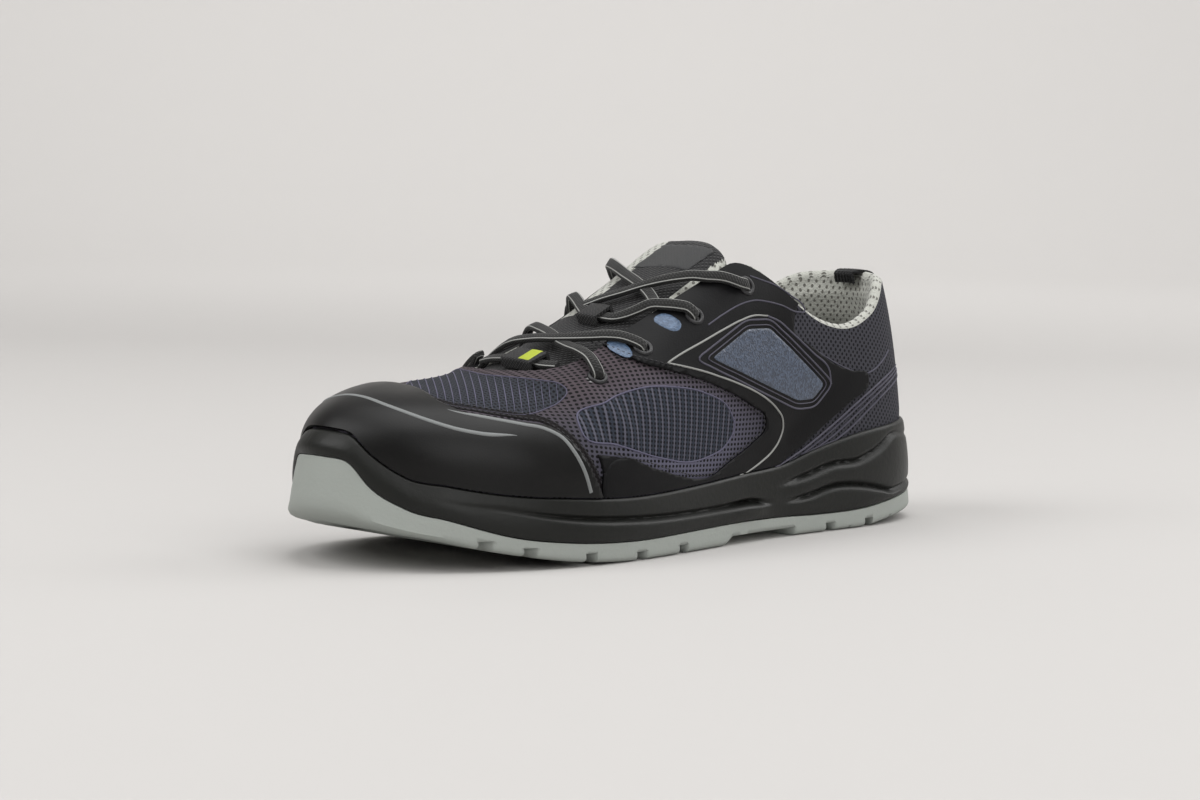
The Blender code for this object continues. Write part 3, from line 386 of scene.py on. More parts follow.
def freeze(thing: Object) -> None:
    """Apply an object's modifiers and remove them."""
    bpy.context.view_layer.update()
    graph = bpy.context.evaluated_depsgraph_get()
    data = bpy.data.meshes.new_from_object(thing.evaluated_get(graph), depsgraph=graph)
    thing.modifiers.clear()
    old = thing.data
    thing.data = data
    bpy.data.meshes.remove(old)


def carve(thing: Object, cutters: Iterable[Object], operation: str) -> None:
    """Cut an object with others and take them away.

    Args:
        thing: The object to cut.
        cutters: The cutting objects.
        operation: DIFFERENCE or INTERSECT.
    """
    cutters = list(cutters)
    for cutter in cutters:
        step = thing.modifiers.new(cutter.name, "BOOLEAN")
        step.operation = operation
        step.solver = "EXACT"
        step.object = cutter
    freeze(thing)
    for cutter in cutters:
        bpy.data.objects.remove(cutter)


def tube_faces(count: int, size: int, closed: bool = False) -> Faces:
    """Faces of a tube.

    Args:
        count: Its rings.
        size: Points of each ring.
        closed: Whether its end meets its start.

    Returns:
        Its side, and its two ends if it has them.
    """
    faces = []
    for k in range(count if closed else count - 1):
        low, high = k * size, (k + 1) % count * size
        faces += [(low + i, low + (i + 1) % size, high + (i + 1) % size, high + i) for i in range(size)]
    if not closed:
        faces += [tuple(reversed(range(size))), tuple(range(size * (count - 1), size * count))]
    return faces


def prism(name: str, outline: Array, axis: str, low: float, high: float) -> Object:
    """Closed prism over a flat outline.

    Args:
        name: The object's name.
        outline: (y, z) points for an X axis, or (x, y) points for a Z axis.
        axis: X or Z.
        low: Where the prism begins.
        high: Where it ends.

    Returns:
        The prism.
    """
    outline = counter_clockwise(np.array(outline, float))
    count = len(outline)
    ends = []
    for level in (low, high):
        column = np.full((count, 1), level)
        ends.append(np.hstack([column, outline] if axis == "X" else [outline, column]))
    faces = [tuple(reversed(range(count))), tuple(range(count, 2 * count))]
    faces += [(k, (k + 1) % count, count + (k + 1) % count, count + k) for k in range(count)]
    return build_object(name, Mesh(np.vstack(ends), faces), [])


def sweep(path: Array, up: Array, section: Array, scale: Array | None = None, closed: bool = False) -> Mesh:
    """Sweep a closed section along a path.

    Args:
        path: Points of the path.
        up: Direction of the section's second axis at each point.
        section: (across, up) points, clockwise as seen along the path.
        scale: Size of the section at each point, if it changes.
        closed: Whether the path's end meets its start.

    Returns:
        A closed tube with its length along the map's second axis.
    """
    count, size = len(path), len(section)
    if closed:
        ahead = unit(np.roll(path, -1, axis=0) - np.roll(path, 1, axis=0))
    else:
        ahead = unit(np.gradient(path, axis=0))
    across = np.cross(ahead, up)
    firm = np.linalg.norm(across, axis=1) > 0.6 * np.linalg.norm(up, axis=1)
    middle = count // 2
    for k in (*range(middle + 1, count), *range(middle - 1, -1, -1)):
        if not firm[k]:
            before = across[k - 1] if k > middle else across[k + 1]
            across[k] = before - ahead[k] * (before @ ahead[k])
        across[k] = across[k] / np.linalg.norm(across[k])
    across = unit(across)
    rise = np.cross(across, ahead)
    factor = np.ones(count) if scale is None else scale
    points = np.concatenate([
        path[k] + factor[k] * (across[k] * section[:, :1] + rise[k] * section[:, 1:]) for k in range(count)
    ])
    run = line_run(path)
    run = np.append(run, run[-1] + np.linalg.norm(path[0] - path[-1]))
    corners = []
    for k in range(count if closed else count - 1):
        for i in range(size):
            a, b = i / size, (i + 1) / size
            corners.append(((a, run[k]), (b, run[k]), (b, run[k + 1]), (a, run[k + 1])))
    if not closed:
        corners.append(tuple((i / size, run[0]) for i in reversed(range(size))))
        corners.append(tuple((i / size, run[-2]) for i in range(size)))
    return Mesh(points, tube_faces(count, size, closed), corners)


class Skin:
    """Surface made of grids of points that meet, from which walls of some thickness are made."""

    def __init__(
        self, grids: Sequence[Array], flips: Sequence[bool], maps: Sequence[Array] | None = None,
    ) -> None:
        """Join the grids.

        Args:
            grids: Arrays of columns, rows and coordinates.
            flips: Whether each grid's faces turn the other way.
            maps: Cloth map of each grid's points, if it isn't worked out from them.
        """
        points = np.concatenate([g.reshape(-1, 3) for g in grids])
        keys = np.round(points / 1e-6).astype(np.int64)
        _, first, inverse = np.unique(keys, axis=0, return_index=True, return_inverse=True)
        self.place = inverse.reshape(-1)
        self.points = points[first]
        cloth = np.concatenate([m.reshape(-1, 2) for m in (maps or [self.cloth_map(g) for g in grids])])
        self.faces: Faces = []
        self.corners: list[tuple[tuple[float, float], ...]] = []
        base = 0
        for grid, flip in zip(grids, flips):
            columns, rows = grid.shape[:2]
            for i in range(columns - 1):
                for j in range(rows - 1):
                    a = base + i * rows + j
                    ring = (a, a + rows, a + rows + 1, a + 1)
                    ring = ring[::-1] if flip else ring
                    first_of = {int(self.place[k]): k for k in reversed(ring)}
                    kept = [k for k in ring if first_of[int(self.place[k])] == k]
                    if len(kept) > 2:
                        self.faces.append(tuple(int(self.place[k]) for k in kept))
                        self.corners.append(tuple(tuple(cloth[k]) for k in kept))
            base += columns * rows
        self.normals = self.point_normals()

    @staticmethod
    def cloth_map(grid: Array) -> Array:
        """Map of a grid: distance along the foot and round the heel, and distance up from its foot."""
        foot = grid[:, 0]
        turn = np.linalg.norm(np.diff(foot, axis=0), axis=1) - np.abs(np.diff(foot[:, 1]))
        around = np.concatenate([[0.0], np.cumsum(np.where(foot[1:, 1] > 0, turn, 0.0))])
        if foot[0, 1] > foot[-1, 1]:
            around = around[-1] - around
        rise = np.linalg.norm(np.diff(grid, axis=1), axis=2)
        height = np.concatenate([np.zeros((len(grid), 1)), np.cumsum(rise, axis=1)], 1)
        return np.stack([grid[:, :, 1] + around[:, None], height], 2)

    def point_normals(self) -> Array:
        """Normals of the points, weighted by the area around them."""
        rings = np.array([face if len(face) == 4 else face + face[-1:] for face in self.faces])
        a, b, c, d = (self.points[rings[:, k]] for k in range(4))
        area = np.cross(c - a, d - b)
        normals = np.zeros_like(self.points)
        for k in range(4):
            np.add.at(normals, rings[:, k], area)
        return unit(normals)

    def press(self, depth: Callable[[Array], Array]) -> None:
        """Move the surface along its normals.

        Args:
            depth: Gives the move at each of some points.
        """
        self.points = self.points + self.normals * depth(self.points)[:, None]
        self.normals = self.point_normals()

    def wall(
        self, inner: Array | float, outer: Array | float, lip: Callable[[Array], Array] | None = None,
    ) -> Mesh:
        """Closed wall between two offsets along the normals.

        Args:
            inner: Offset of the inner face, one number or one for each point.
            outer: Offset of the outer face.
            lip: Gives how far the border's rounding stands out at each of some points.

        Returns:
            The wall, with the layer of each face as its finish.
        """
        count = len(self.points)
        low = self.points + self.normals * np.reshape(inner * np.ones(count), (-1, 1))
        high = self.points + self.normals * np.reshape(outer * np.ones(count), (-1, 1))
        faces = [tuple(k + count for k in face) for face in self.faces]
        corners = list(self.corners)
        finish = [Layer.OUTSIDE.value] * len(self.faces)
        faces += [face[::-1] for face in self.faces]
        corners += [c[::-1] for c in self.corners]
        finish += [Layer.INSIDE.value] * len(self.faces)
        border = border_edges(self.faces)
        levels = [high, low]
        if lip is not None:
            out = np.zeros_like(self.points)
            for a, b in border:
                side = np.cross(self.points[b] - self.points[a], self.normals[a])
                out[a] += side
                out[b] += side
            out = unit(out) * lip(self.points)[:, None]
            bends = [high + (low - high) * t + out * math.sin(math.pi * t) for t in (0.15, 0.38, 0.62, 0.85)]
            levels = [high, *bends, low]
        starts = {0: count, len(levels) - 1: 0}
        extra = 2 * count
        used = sorted({k for edge in border for k in edge})
        rank = {k: i for i, k in enumerate(used)}
        added = []
        for step, level in enumerate(levels[1:-1], 1):
            starts[step] = extra + (step - 1) * len(used)
            added.append(level[used])

        def index(step: int, k: int) -> int:
            """Number of the point of a level that stands at a border point."""
            return starts[step] + (k if step in (0, len(levels) - 1) else rank[k])

        for step in range(len(levels) - 1):
            for a, b in border:
                faces.append((index(step + 1, a), index(step + 1, b), index(step, b), index(step, a)))
                u, v = self.points[a][1], self.points[b][1]
                corners.append(((u, 0.0), (v, 0.0), (v, MM), (u, MM)))
                finish.append((Layer.LIP if step < len(levels) // 2 else Layer.INNER_LIP).value)
        return Mesh(np.vstack([low, high, *added]), faces, corners, finish)


# Form of the shoe


@dataclass(frozen=True)
class Rib:
    """One half section of the upper, in a vertical plane from a centre to its foot."""

    side: Side
    station: float
    edge: Array
    normal: Array
    centre: Array
    ahead: Array
    radius: float
    widest: float
    ridge: float
    exponent: float
    lean: float
    rim: float
    bed: float
    ground: float
    split: float
    tuck: float

    def radius_at(self, height: Array) -> Array:
        """Distance from the centre line at a height."""
        rise = np.clip((height - self.widest) / (self.ridge - self.widest), 0.0, 1.0)
        return self.radius * (1 - rise**self.exponent) ** (1 / self.exponent)

    def height_at(self, reach: Array) -> Array:
        """Height at a distance from the centre line."""
        share = np.clip(reach / self.radius, 0.0, 1.0)
        return self.widest + (self.ridge - self.widest) * (1 - share**self.exponent) ** (1 / self.exponent)

    def points(self, reach: Array, height: Array) -> Array:
        """Points at distances from the centre line and heights."""
        reach, height = np.broadcast_arrays(np.asarray(reach, float), np.asarray(height, float))
        flat = self.centre + self.ahead * reach[..., None]
        y = flat[..., 1] - self.lean * np.maximum(0.0, height - self.widest)
        return np.stack([flat[..., 0], y, height], -1)

    @property
    def foot_station(self) -> float:
        """Station of the rib's foot."""
        return 0.5 - self.edge[1] / FORM.length


@dataclass
class ShoeForm:
    """Sizes of the sneaker and the curves that its surfaces follow."""

    length: float = 0.300
    ball_width: float = 0.108
    sole_height: float = 0.040
    instep_height: float = 0.110
    collar_height: float = 0.097
    upper_inset: float = 0.0039
    wall: float = 0.0022
    collar_padding: float = 0.0055
    padding_depth: float = 0.034
    heel_lean: float = 0.15
    throat_half_front: float = 0.0265
    throat_half_top: float = 0.0275
    throat_front: float = 0.725
    throat_round: float = 0.065
    throat_spread: float = 0.335
    collar_end: float = 0.44
    corner_round: float = 0.004
    toe_tip: float = -0.10
    sideways: float = -0.0011
    toe_tuck: float = 0.0026
    samples: int = 1500
    arc_samples: int = 260

    def __post_init__(self) -> None:
        """Lay the sole's outline in plan."""
        half = self.ball_width / 2
        knots = [(0.0, self.along(0.0))]
        knots += [(row[1] * half, self.along(row[0])) for row in PLAN.rows]
        knots += [(self.toe_tip * half, self.along(1.0))]
        knots += [(-row[2] * half, self.along(row[0])) for row in PLAN.rows[::-1]]
        curve, start = self.closed_spline(np.array(knots) + (self.sideways, 0.0))
        toe = start[len(PLAN.rows) + 1]
        self.outline = []
        for first, last in ((0.0, toe), (start[-1] - 1e-9, toe)):
            t = np.linspace(first, last, self.samples)
            points = curve(t)
            ahead = unit(curve(t + 1e-5) - curve(t - 1e-5))
            run = line_run(points)
            self.outline.append((run / run[-1], points, np.stack([-ahead[:, 1], ahead[:, 0]], 1)))

    @staticmethod
    def closed_spline(knots: Array) -> tuple[Callable[[Array], Array], Array]:
        """Periodic cubic spline through plan points.

        Args:
            knots: The points.

        Returns:
            The curve as a function, and the place of each knot on it.
        """
        count = len(knots)
        ring = np.vstack([knots, knots[:1]])
        step = np.linalg.norm(np.diff(ring, axis=0), axis=1)
        start = line_run(ring)
        system = np.zeros((count, count))
        right = np.zeros((count, 2))
        for i in range(count):
            before = (i - 1) % count
            system[i, before] += step[before]
            system[i, i] += 2 * (step[before] + step[i])
            system[i, (i + 1) % count] += step[i]
            right[i] = 6 * ((ring[i + 1] - ring[i]) / step[i] - (ring[i] - knots[before]) / step[before])
        bend = np.linalg.solve(system, right)
        bend = np.vstack([bend, bend[:1]])

        def curve(t: Array) -> Array:
            """Points of the spline at places on it."""
            t = np.mod(np.asarray(t, float), start[-1])
            k = np.clip(np.searchsorted(start, t, side="right") - 1, 0, count - 1)
            size = step[k][:, None]
            a = ((start[k + 1] - t) / step[k])[:, None]
            b = ((t - start[k]) / step[k])[:, None]
            bow = ((a**3 - a) * bend[k] + (b**3 - b) * bend[k + 1]) * size**2 / 6
            return a * ring[k] + b * ring[k + 1] + bow

        return curve, start

    def along(self, station: float) -> float:
        """Y of a station."""
        return (0.5 - station) * self.length

    def rib(self, side: Side, share: float) -> Rib:
        """Rib at a share of one side of the outline.

        Args:
            side: Side of the foot.
            share: Share of the side's length, from the heel.

        Returns:
            The rib.
        """
        spots = []
        for which in (side, 1 - side):
            run, *tables = self.outline[which]
            spots.append([np.array([np.interp(share, run, rows[:, k]) for k in (0, 1)]) for rows in tables])
        (edge, normal), (other, _) = spots
        normal = unit(normal)
        station = 0.5 - (edge[1] + other[1]) / 2 / self.length
        place = float(np.clip(station, UPPER.rows[0, 0], UPPER.rows[-1, 0]))
        across = float(UPPER.at("across", place)) * self.ball_width / 2 + self.sideways
        centre = np.array([across, self.along(place)])
        own = 0.5 - edge[1] / self.length
        foot = edge - normal * float(FOOT.at("inset", own)) * self.upper_inset
        radius = float(np.linalg.norm(foot - centre))
        column = side.word
        heights = {
            name: max(0.0, float(SOLE.at(name, own))) * self.sole_height
            for name in ("rim", "bed", "ground", "split")
        }
        return Rib(
            side=side,
            station=station,
            edge=edge,
            normal=normal,
            centre=centre,
            ahead=(foot - centre) / radius,
            radius=radius,
            widest=float(FOOT.at("widest", own)) * self.sole_height,
            ridge=float(UPPER.at("ridge", place)) * self.instep_height,
            exponent=float(UPPER.at(column, place)),
            lean=self.heel_lean * float(np.clip((0.36 - station) / 0.30, 0, 1)),
            tuck=float(SOLE.at("tuck", own)) * self.toe_tuck,
            **heights,
        )

    def top(self, rib: Rib) -> float:
        """Height of the upper's edge, or of its ridge where it is closed."""
        if rib.station >= self.throat_front:
            return rib.ridge
        back = self.throat_front - rib.station
        opening = min(1.0, back / self.throat_round)
        spread = min(1.0, back / self.throat_spread)
        half = self.throat_half_front + (self.throat_half_top - self.throat_half_front) * spread
        throat = float(rib.height_at(half * math.sqrt(1 - (1 - opening) ** 2)))
        if rib.station >= self.collar_end:
            return throat
        collar = float(COLLAR.at(rib.side.word, rib.foot_station)) * self.collar_height
        return float(smooth_min(throat, collar, self.corner_round))

    def profile(self, rib: Rib, rows: int, closed: bool = False, foot: bool = True) -> Array:
        """Points up a rib: its foot, the sole's rim, then even steps.

        Args:
            rib: The rib.
            rows: Points from the rim to the edge.
            closed: Whether to run to the ridge over throat and collar.
            foot: Whether the point at the insole's bed is there.

        Returns:
            The points.
        """
        top = rib.ridge if closed else self.top(rib)
        if top >= rib.ridge - 1e-7:
            angle = np.linspace(0, math.pi / 2, self.arc_samples)
            rise = rib.ridge - rib.widest
            radial = (np.cos(angle) / rib.radius) ** rib.exponent + (np.sin(angle) / rise) ** rib.exponent
            radial = radial ** (-1 / rib.exponent)
            reach, height = radial * np.cos(angle), rib.widest + radial * np.sin(angle)
            reach[-1] = 0.0
        else:
            height = np.linspace(rib.widest, top, self.arc_samples)
            reach = rib.radius_at(height)
        above = height > rib.rim + 1e-6
        if rib.rim < rib.widest:
            reach = np.concatenate([[rib.radius], reach])
            height = np.concatenate([[rib.rim], height])
        else:
            reach = np.concatenate([[rib.radius_at(rib.rim)], reach[above]])
            height = np.concatenate([[rib.rim], height[above]])
        run = np.concatenate([[0.0], np.cumsum(np.hypot(np.diff(reach), np.diff(height)))])
        even = np.linspace(0, run[-1], rows)
        reach, height = np.interp(even, run, reach), np.interp(even, run, height)
        if foot:
            reach = np.concatenate([[rib.radius], reach])
            height = np.concatenate([[rib.bed + 0.0003], height])
        return rib.points(reach, height)

    def shares(self, count: int) -> list[float]:
        """Shares of a side where ribs stand, closer at the throat's front."""
        even = [k / count for k in range(count + 1)]
        stations = [self.rib(Side.LATERAL, share).station for share in even]
        turns = np.linspace(0.12, math.pi / 2, 10)
        backs = [-0.0006, 0.0001] + [self.throat_round * (1 - math.cos(t)) for t in turns]
        extra = [float(np.interp(self.throat_front - back, stations, even)) for back in backs]
        apart = [share for share in even if min(abs(share - more) for more in extra) > 0.3 / count]
        return sorted(apart + extra)


FORM = ShoeForm()


# Finishes


def linear(colour: str) -> tuple[float, float, float, float]:
    """Linear colour of an sRGB hex value."""
    channels = [int(colour[k:k + 2], 16) / 255 for k in (1, 3, 5)]
    return (*(c / 12.92 if c <= 0.04045 else ((c + 0.055) / 1.055) ** 2.4 for c in channels), 1.0)


def add_node(tree: NodeTree, kind: str, settings: dict | None = None, **links: object) -> Node:
    """Add a node with its settings and links.

    Args:
        tree: The node tree.
        kind: The node's type name.
        settings: Attributes of the node.
        links: Inputs by name, with underscores for spaces, or by number as n0, n1; a value, or an
            output socket.

    Returns:
        The node.
    """
    node = tree.nodes.new(kind)
    for name, value in (settings or {}).items():
        setattr(node, name, value)
    for name, value in links.items():
        key = int(name[1:]) if name[0] == "n" and name[1:].isdigit() else name.replace("_", " ")
        socket = node.inputs[key]
        if isinstance(value, NodeSocket):
            tree.links.new(value, socket)
        else:
            socket.default_value = value
    return node


def toned(colour: str, share: float) -> tuple[float, float, float, float]:
    """Linear colour of an sRGB hex value, made lighter or darker by a share."""
    return (*(min(1.0, c * share) for c in linear(colour)[:3]), 1.0)


def mixed(tree: NodeTree, share: NodeSocket, first: object, second: object) -> NodeSocket:
    """Colour between two, each a value or a socket."""
    return add_node(tree, "ShaderNodeMix", {"data_type": "RGBA"}, n0=share, n6=first, n7=second).outputs[2]


def reckoned(tree: NodeTree, operation: str, first: object, second: object) -> NodeSocket:
    """Result of arithmetic on two values or sockets."""
    return add_node(tree, "ShaderNodeMath", {"operation": operation}, n0=first, n1=second).outputs[0]


def wave(tree: NodeTree, place: NodeSocket, axis: str, period: float) -> NodeSocket:
    """Soft bands across an axis, a period in metres apart."""
    scale = math.pi / 10 / period
    bands = add_node(tree, "ShaderNodeTexWave", {"bands_direction": axis}, Vector=place, Scale=scale)
    return bands.outputs["Fac"]


def stepped(tree: NodeTree, value: NodeSocket, low: float, high: float, soft: bool = False) -> NodeSocket:
    """Rise from 0 to 1 as a value passes from low to high, on a straight or a soft ramp."""
    kind = "SMOOTHSTEP" if soft else "LINEAR"
    ramp = add_node(
        tree, "ShaderNodeMapRange", {"interpolation_type": kind}, Value=value, From_Min=low, From_Max=high,
    )
    return ramp.outputs["Result"]


@dataclass(frozen=True)
class Finish:
    """What every finish has: a name, a colour and a roughness."""

    name: str
    colour: str
    roughness: float

    def new(self, **values: float) -> tuple[Material, NodeTree, Node]:
        """Material with its tree and shader, its colour, roughness and other values set."""
        mat = bpy.data.materials.new(self.name)
        mat.use_nodes = True
        tree = mat.node_tree
        shader = tree.nodes["Principled BSDF"]
        shader.inputs["Roughness"].default_value = self.roughness
        shader.inputs["Base Color"].default_value = linear(self.colour)
        for name, value in values.items():
            shader.inputs[name.replace("_", " ")].default_value = value
        return mat, tree, shader

    @staticmethod
    def cloth(tree: NodeTree, lean: float) -> NodeSocket:
        """Cloth map of the mesh, turned by an angle."""
        cloth = add_node(tree, "ShaderNodeUVMap", {"uv_map": "cloth"}).outputs["UV"]
        return add_node(tree, "ShaderNodeMapping", Vector=cloth, Rotation=(0.0, 0.0, lean)).outputs["Vector"]

    @staticmethod
    def crossed(tree: NodeTree, place: NodeSocket, across: float, up: float) -> NodeSocket:
        """Spots where two sets of bands cross, with the bands' periods in metres."""
        return reckoned(tree, "MULTIPLY", wave(tree, place, "X", across), wave(tree, place, "Y", up))

    @staticmethod
    def dress(tree: NodeTree, shader: Node, tone: NodeSocket, height: NodeSocket, depth: float) -> None:
        """Give the shader its colour and a relief.

        Args:
            tree: The material's tree.
            shader: Its shader.
            tone: Its colour.
            height: Relief from 0 to 1.
            depth: The relief's real depth in metres.
        """
        tree.links.new(tone, shader.inputs["Base Color"])
        relief = add_node(tree, "ShaderNodeBump", Strength=1.0, Distance=depth, Height=height)
        tree.links.new(relief.outputs["Normal"], shader.inputs["Normal"])


@dataclass(frozen=True)
class Grained(Finish):
    """Moulded or fused plastic and rubber: fine grain, soft mottling and worn patches."""

    grain: float = 0.0008
    depth: float = 0.00008
    mottle: float = 0.12
    coat: float = 0.0
    gloss: float = 0.5
    cloud_scale: float = 35.0
    patchy: float = 0.06

    def material(self) -> Material:
        """The finish as a material."""
        mat, tree, shader = self.new(Coat_Weight=self.coat, Coat_Roughness=0.3, Specular_IOR_Level=self.gloss)
        place = add_node(tree, "ShaderNodeTexCoord").outputs["Object"]
        grain = add_node(tree, "ShaderNodeTexNoise", Vector=place, Scale=1 / self.grain, Detail=3.0)
        noise = add_node(tree, "ShaderNodeTexNoise", Vector=place, Scale=self.cloud_scale, Detail=4.0)
        cloud = noise.outputs["Fac"]
        dark, light = toned(self.colour, 1 - self.mottle), toned(self.colour, 1 + self.mottle)
        rough = add_node(
            tree, "ShaderNodeMapRange", Value=cloud, From_Min=0.3, From_Max=0.7,
            To_Min=self.roughness - self.patchy, To_Max=self.roughness + self.patchy,
        )
        tree.links.new(rough.outputs["Result"], shader.inputs["Roughness"])
        self.dress(tree, shader, mixed(tree, cloud, dark, light), grain.outputs["Fac"], self.depth)
        return mat


@dataclass(frozen=True)
class Knit(Finish):
    """Engineered mesh: rows of small holes in a raised net of thread, the holes painted near-black as shade
    inside them.

    The holes are 2.2 mm apart in rows 1.8 mm apart, judged from the photograph.
    """

    # Painted shade: near-black colour inside the mesh's holes
    hole_shade: str = "#08070a"
    pitch: float = 0.0022
    row: float = 0.0018
    lean: float = 0.0
    tinted: bool = False
    open_share: float = 0.40
    depth: float = 0.00035
    stripe: float = 0.0
    stripe_colour: str = "#6d6a78"

    def material(self) -> Material:
        """The finish as a material, its thread's colour taken from the mesh where it is tinted."""
        mat, tree, shader = self.new(Specular_IOR_Level=0.25)
        cloth = self.cloth(tree, self.lean)
        both = self.crossed(tree, cloth, self.pitch, self.row)
        pit = stepped(tree, both, self.open_share - 0.16, self.open_share + 0.12, soft=True)
        if self.tinted:
            thread = add_node(tree, "ShaderNodeAttribute", {"attribute_name": "thread"}).outputs["Color"]
        else:
            thread = linear(self.colour)
        if self.stripe:
            column = stepped(tree, wave(tree, cloth, "X", self.stripe), 0.72, 0.9)
            thread = mixed(tree, column, thread, linear(self.stripe_colour))
        # The holes take the painted shade colour, the threads their own
        tone = mixed(tree, pit, thread, linear(self.hole_shade))
        self.dress(tree, shader, tone, reckoned(tree, "SUBTRACT", 1.0, pit), self.depth)
        return mat


@dataclass(frozen=True)
class Woven(Finish):
    """Plain woven webbing, cord or cloth, with its weave along the cloth map and painted shade in the weave's
    low places.
    """

    weave: float = 0.0010
    # Colour share in the weave's low places: painted shade between the threads
    dark: float = 0.55
    depth: float = 0.00025

    def material(self) -> Material:
        """The finish as a material."""
        mat, tree, shader = self.new(Sheen_Weight=0.1)
        relief = self.crossed(tree, self.cloth(tree, math.pi / 4), self.weave, self.weave)
        # Painted shade: the colour darkens where the weave's relief is low
        tone = mixed(tree, relief, toned(self.colour, self.dark), linear(self.colour))
        self.dress(tree, shader, tone, relief, self.depth)
        return mat


@dataclass(frozen=True)
class Spacer(Finish):
    """Spacer mesh lining: pale pile with open diamond holes 2.8 mm apart, painted darker as shade inside the
    holes and where the pile is low.
    """

    # Painted shade: darker colour inside the lining's holes
    hole_shade: str = "#6a6962"
    pitch: float = 0.0028
    pile_scale: float = 1400.0
    # Colour share where the pile is low: painted shade in the pile
    pile_shade: float = 0.75
    depth: float = 0.0006

    def material(self) -> Material:
        """The finish as a material."""
        mat, tree, shader = self.new(Sheen_Weight=0.3)
        both = self.crossed(tree, self.cloth(tree, math.pi / 4), self.pitch, self.pitch)
        pit = stepped(tree, both, 0.45, 0.7, soft=True)
        place = add_node(tree, "ShaderNodeTexCoord").outputs["Object"]
        noise = add_node(tree, "ShaderNodeTexNoise", Vector=place, Scale=self.pile_scale, Detail=3.0)
        pile = noise.outputs["Fac"]
        # Painted shade: the pile darkens where it is low
        fluff = mixed(tree, pile, toned(self.colour, self.pile_shade), linear(self.colour))
        # The holes take the painted shade colour
        tone = mixed(tree, pit, fluff, linear(self.hole_shade))
        self.dress(tree, shader, tone, reckoned(tree, "SUBTRACT", pile, pit), self.depth)
        return mat


@dataclass(frozen=True)
class Beaded(Finish):
    """Glass bead reflective film: tiny pale specks in a blue-grey ground."""

    speck: str = "#8a9aae"
    grain: float = 0.0011
    depth: float = 0.00015

    def material(self) -> Material:
        """The finish as a material."""
        mat, tree, shader = self.new(Coat_Weight=0.2)
        place = add_node(tree, "ShaderNodeTexCoord").outputs["Object"]
        cells = add_node(tree, "ShaderNodeTexVoronoi", Vector=place, Scale=1 / self.grain)
        speck = stepped(tree, cells.outputs["Color"], 0.35, 0.8)
        tone = mixed(tree, speck, linear(self.colour), linear(self.speck))
        self.dress(tree, shader, tone, cells.outputs["Distance"], self.depth)
        return mat


class Finishes:
    """Every finish of the sneaker, by the piece it dresses."""

    def __init__(self) -> None:
        """Build the materials."""
        # Moulded nitrile rubber, satin with a matt bloom
        self.rubber = Grained(
            "pale_moulded_rubber", "#989d98", 0.6, grain=0.0012, depth=0.0001, mottle=0.06,
        ).material()
        # Injected polyurethane foam with a satin skin
        self.foam = Grained(
            "black_foam_skin", "#191a18", 0.42, grain=0.0018, depth=0.0001, mottle=0.1, gloss=0.25,
        ).material()
        # Fused polyurethane film with a fine leather grain
        self.film = Grained(
            "fused_black_film", "#0a0a0c", 0.5, grain=0.0007, depth=0.00006, mottle=0.1, gloss=0.15,
        ).material()
        # Thicker smooth film moulded over the toe
        self.cap = Grained(
            "moulded_toe_film", "#0a0a0a", 0.4, grain=0.0006, depth=0.00004, mottle=0.08, gloss=0.25,
        ).material()
        # Engineered mesh of the vamp and quarters, its thread colour kept on the mesh and its holes painted
        # near-black as shade
        self.mesh = Knit("engineered_mesh", "#3a3038", 0.85, tinted=True, lean=0.12).material()
        # The hole colours of these meshes are painted shade inside the holes
        self.rib_mesh = Knit(
            "ribbed_window_mesh", "#2b303b", 0.85, hole_shade="#0c0d14", pitch=0.0017, row=0.0016, stripe=0.0034,
            lean=0.12, stripe_colour="#53535f",
        ).material()
        self.vamp_mesh = Knit(
            "vamp_field_mesh", "#2c2f37", 0.85, hole_shade="#0b0b11", pitch=0.0017, row=0.0016, lean=0.12,
        ).material()
        self.heel_mesh = Knit(
            "heel_mesh", "#3d3d44", 0.85, pitch=0.0021, row=0.0019, hole_shade="#0e0e14", lean=0.9,
        ).material()
        # Spacer lining: its holes and low pile painted darker as shade
        self.lining = Spacer("spacer_lining", "#bfc0b8", 0.95).material()
        # Woven cloths: the weave's low places painted darker as shade
        self.sock = Woven("sock_cloth", "#6a6b62", 0.95, weave=0.0014).material()
        self.tongue = Woven("tongue_cloth", "#121215", 0.85, weave=0.0016, depth=0.0004).material()
        self.lace = Woven("flat_braid", "#10100f", 0.85, weave=0.0009).material()
        self.webbing = Woven("ribbed_webbing", "#0e0e10", 0.85, weave=0.0011).material()
        self.label = Woven("satin_label", "#232527", 0.6, weave=0.0006, depth=0.0001).material()
        self.white_trim = Grained("pale_printed_line", "#8f908d", 0.5, mottle=0.05).material()
        self.grey_trim = Grained("grey_printed_line", "#757878", 0.5, mottle=0.05).material()
        self.lilac_trim = Grained("lilac_printed_line", "#454351", 0.6, mottle=0.08).material()
        self.loop_trim = Grained("lilac_knit_line", "#57556a", 0.8, mottle=0.1).material()
        self.reflective = Beaded("bead_film", "#343c4b", 0.4, speck="#4c586c", grain=0.0007).material()
        self.blue = Beaded("blue_print", "#43566f", 0.5, speck="#566c88", grain=0.0007).material()
        self.stitch = Grained("bonded_thread", "#2a292d", 0.7).material()
        self.band = Grained(
            "dark_seam_band", "#120e10", 0.8, grain=0.0009, depth=0.0002, gloss=0.2,
        ).material()
        self.lime = Grained("lime_print", "#a3b02a", 0.6, mottle=0.05).material()
        self.eyelet = Grained("eyelet_ring", "#17171a", 0.45, mottle=0.1, coat=0.15).material()


# Surface of the upper

# How far the inner side's eyestay lies below the outer one, as a share of the instep height
MEDIAL_DROP = Table("station drop", (
    (0.250, 0.000), (0.392, 0.031), (0.488, 0.082), (0.577, 0.090), (0.655, 0.070), (0.720, 0.060),
))


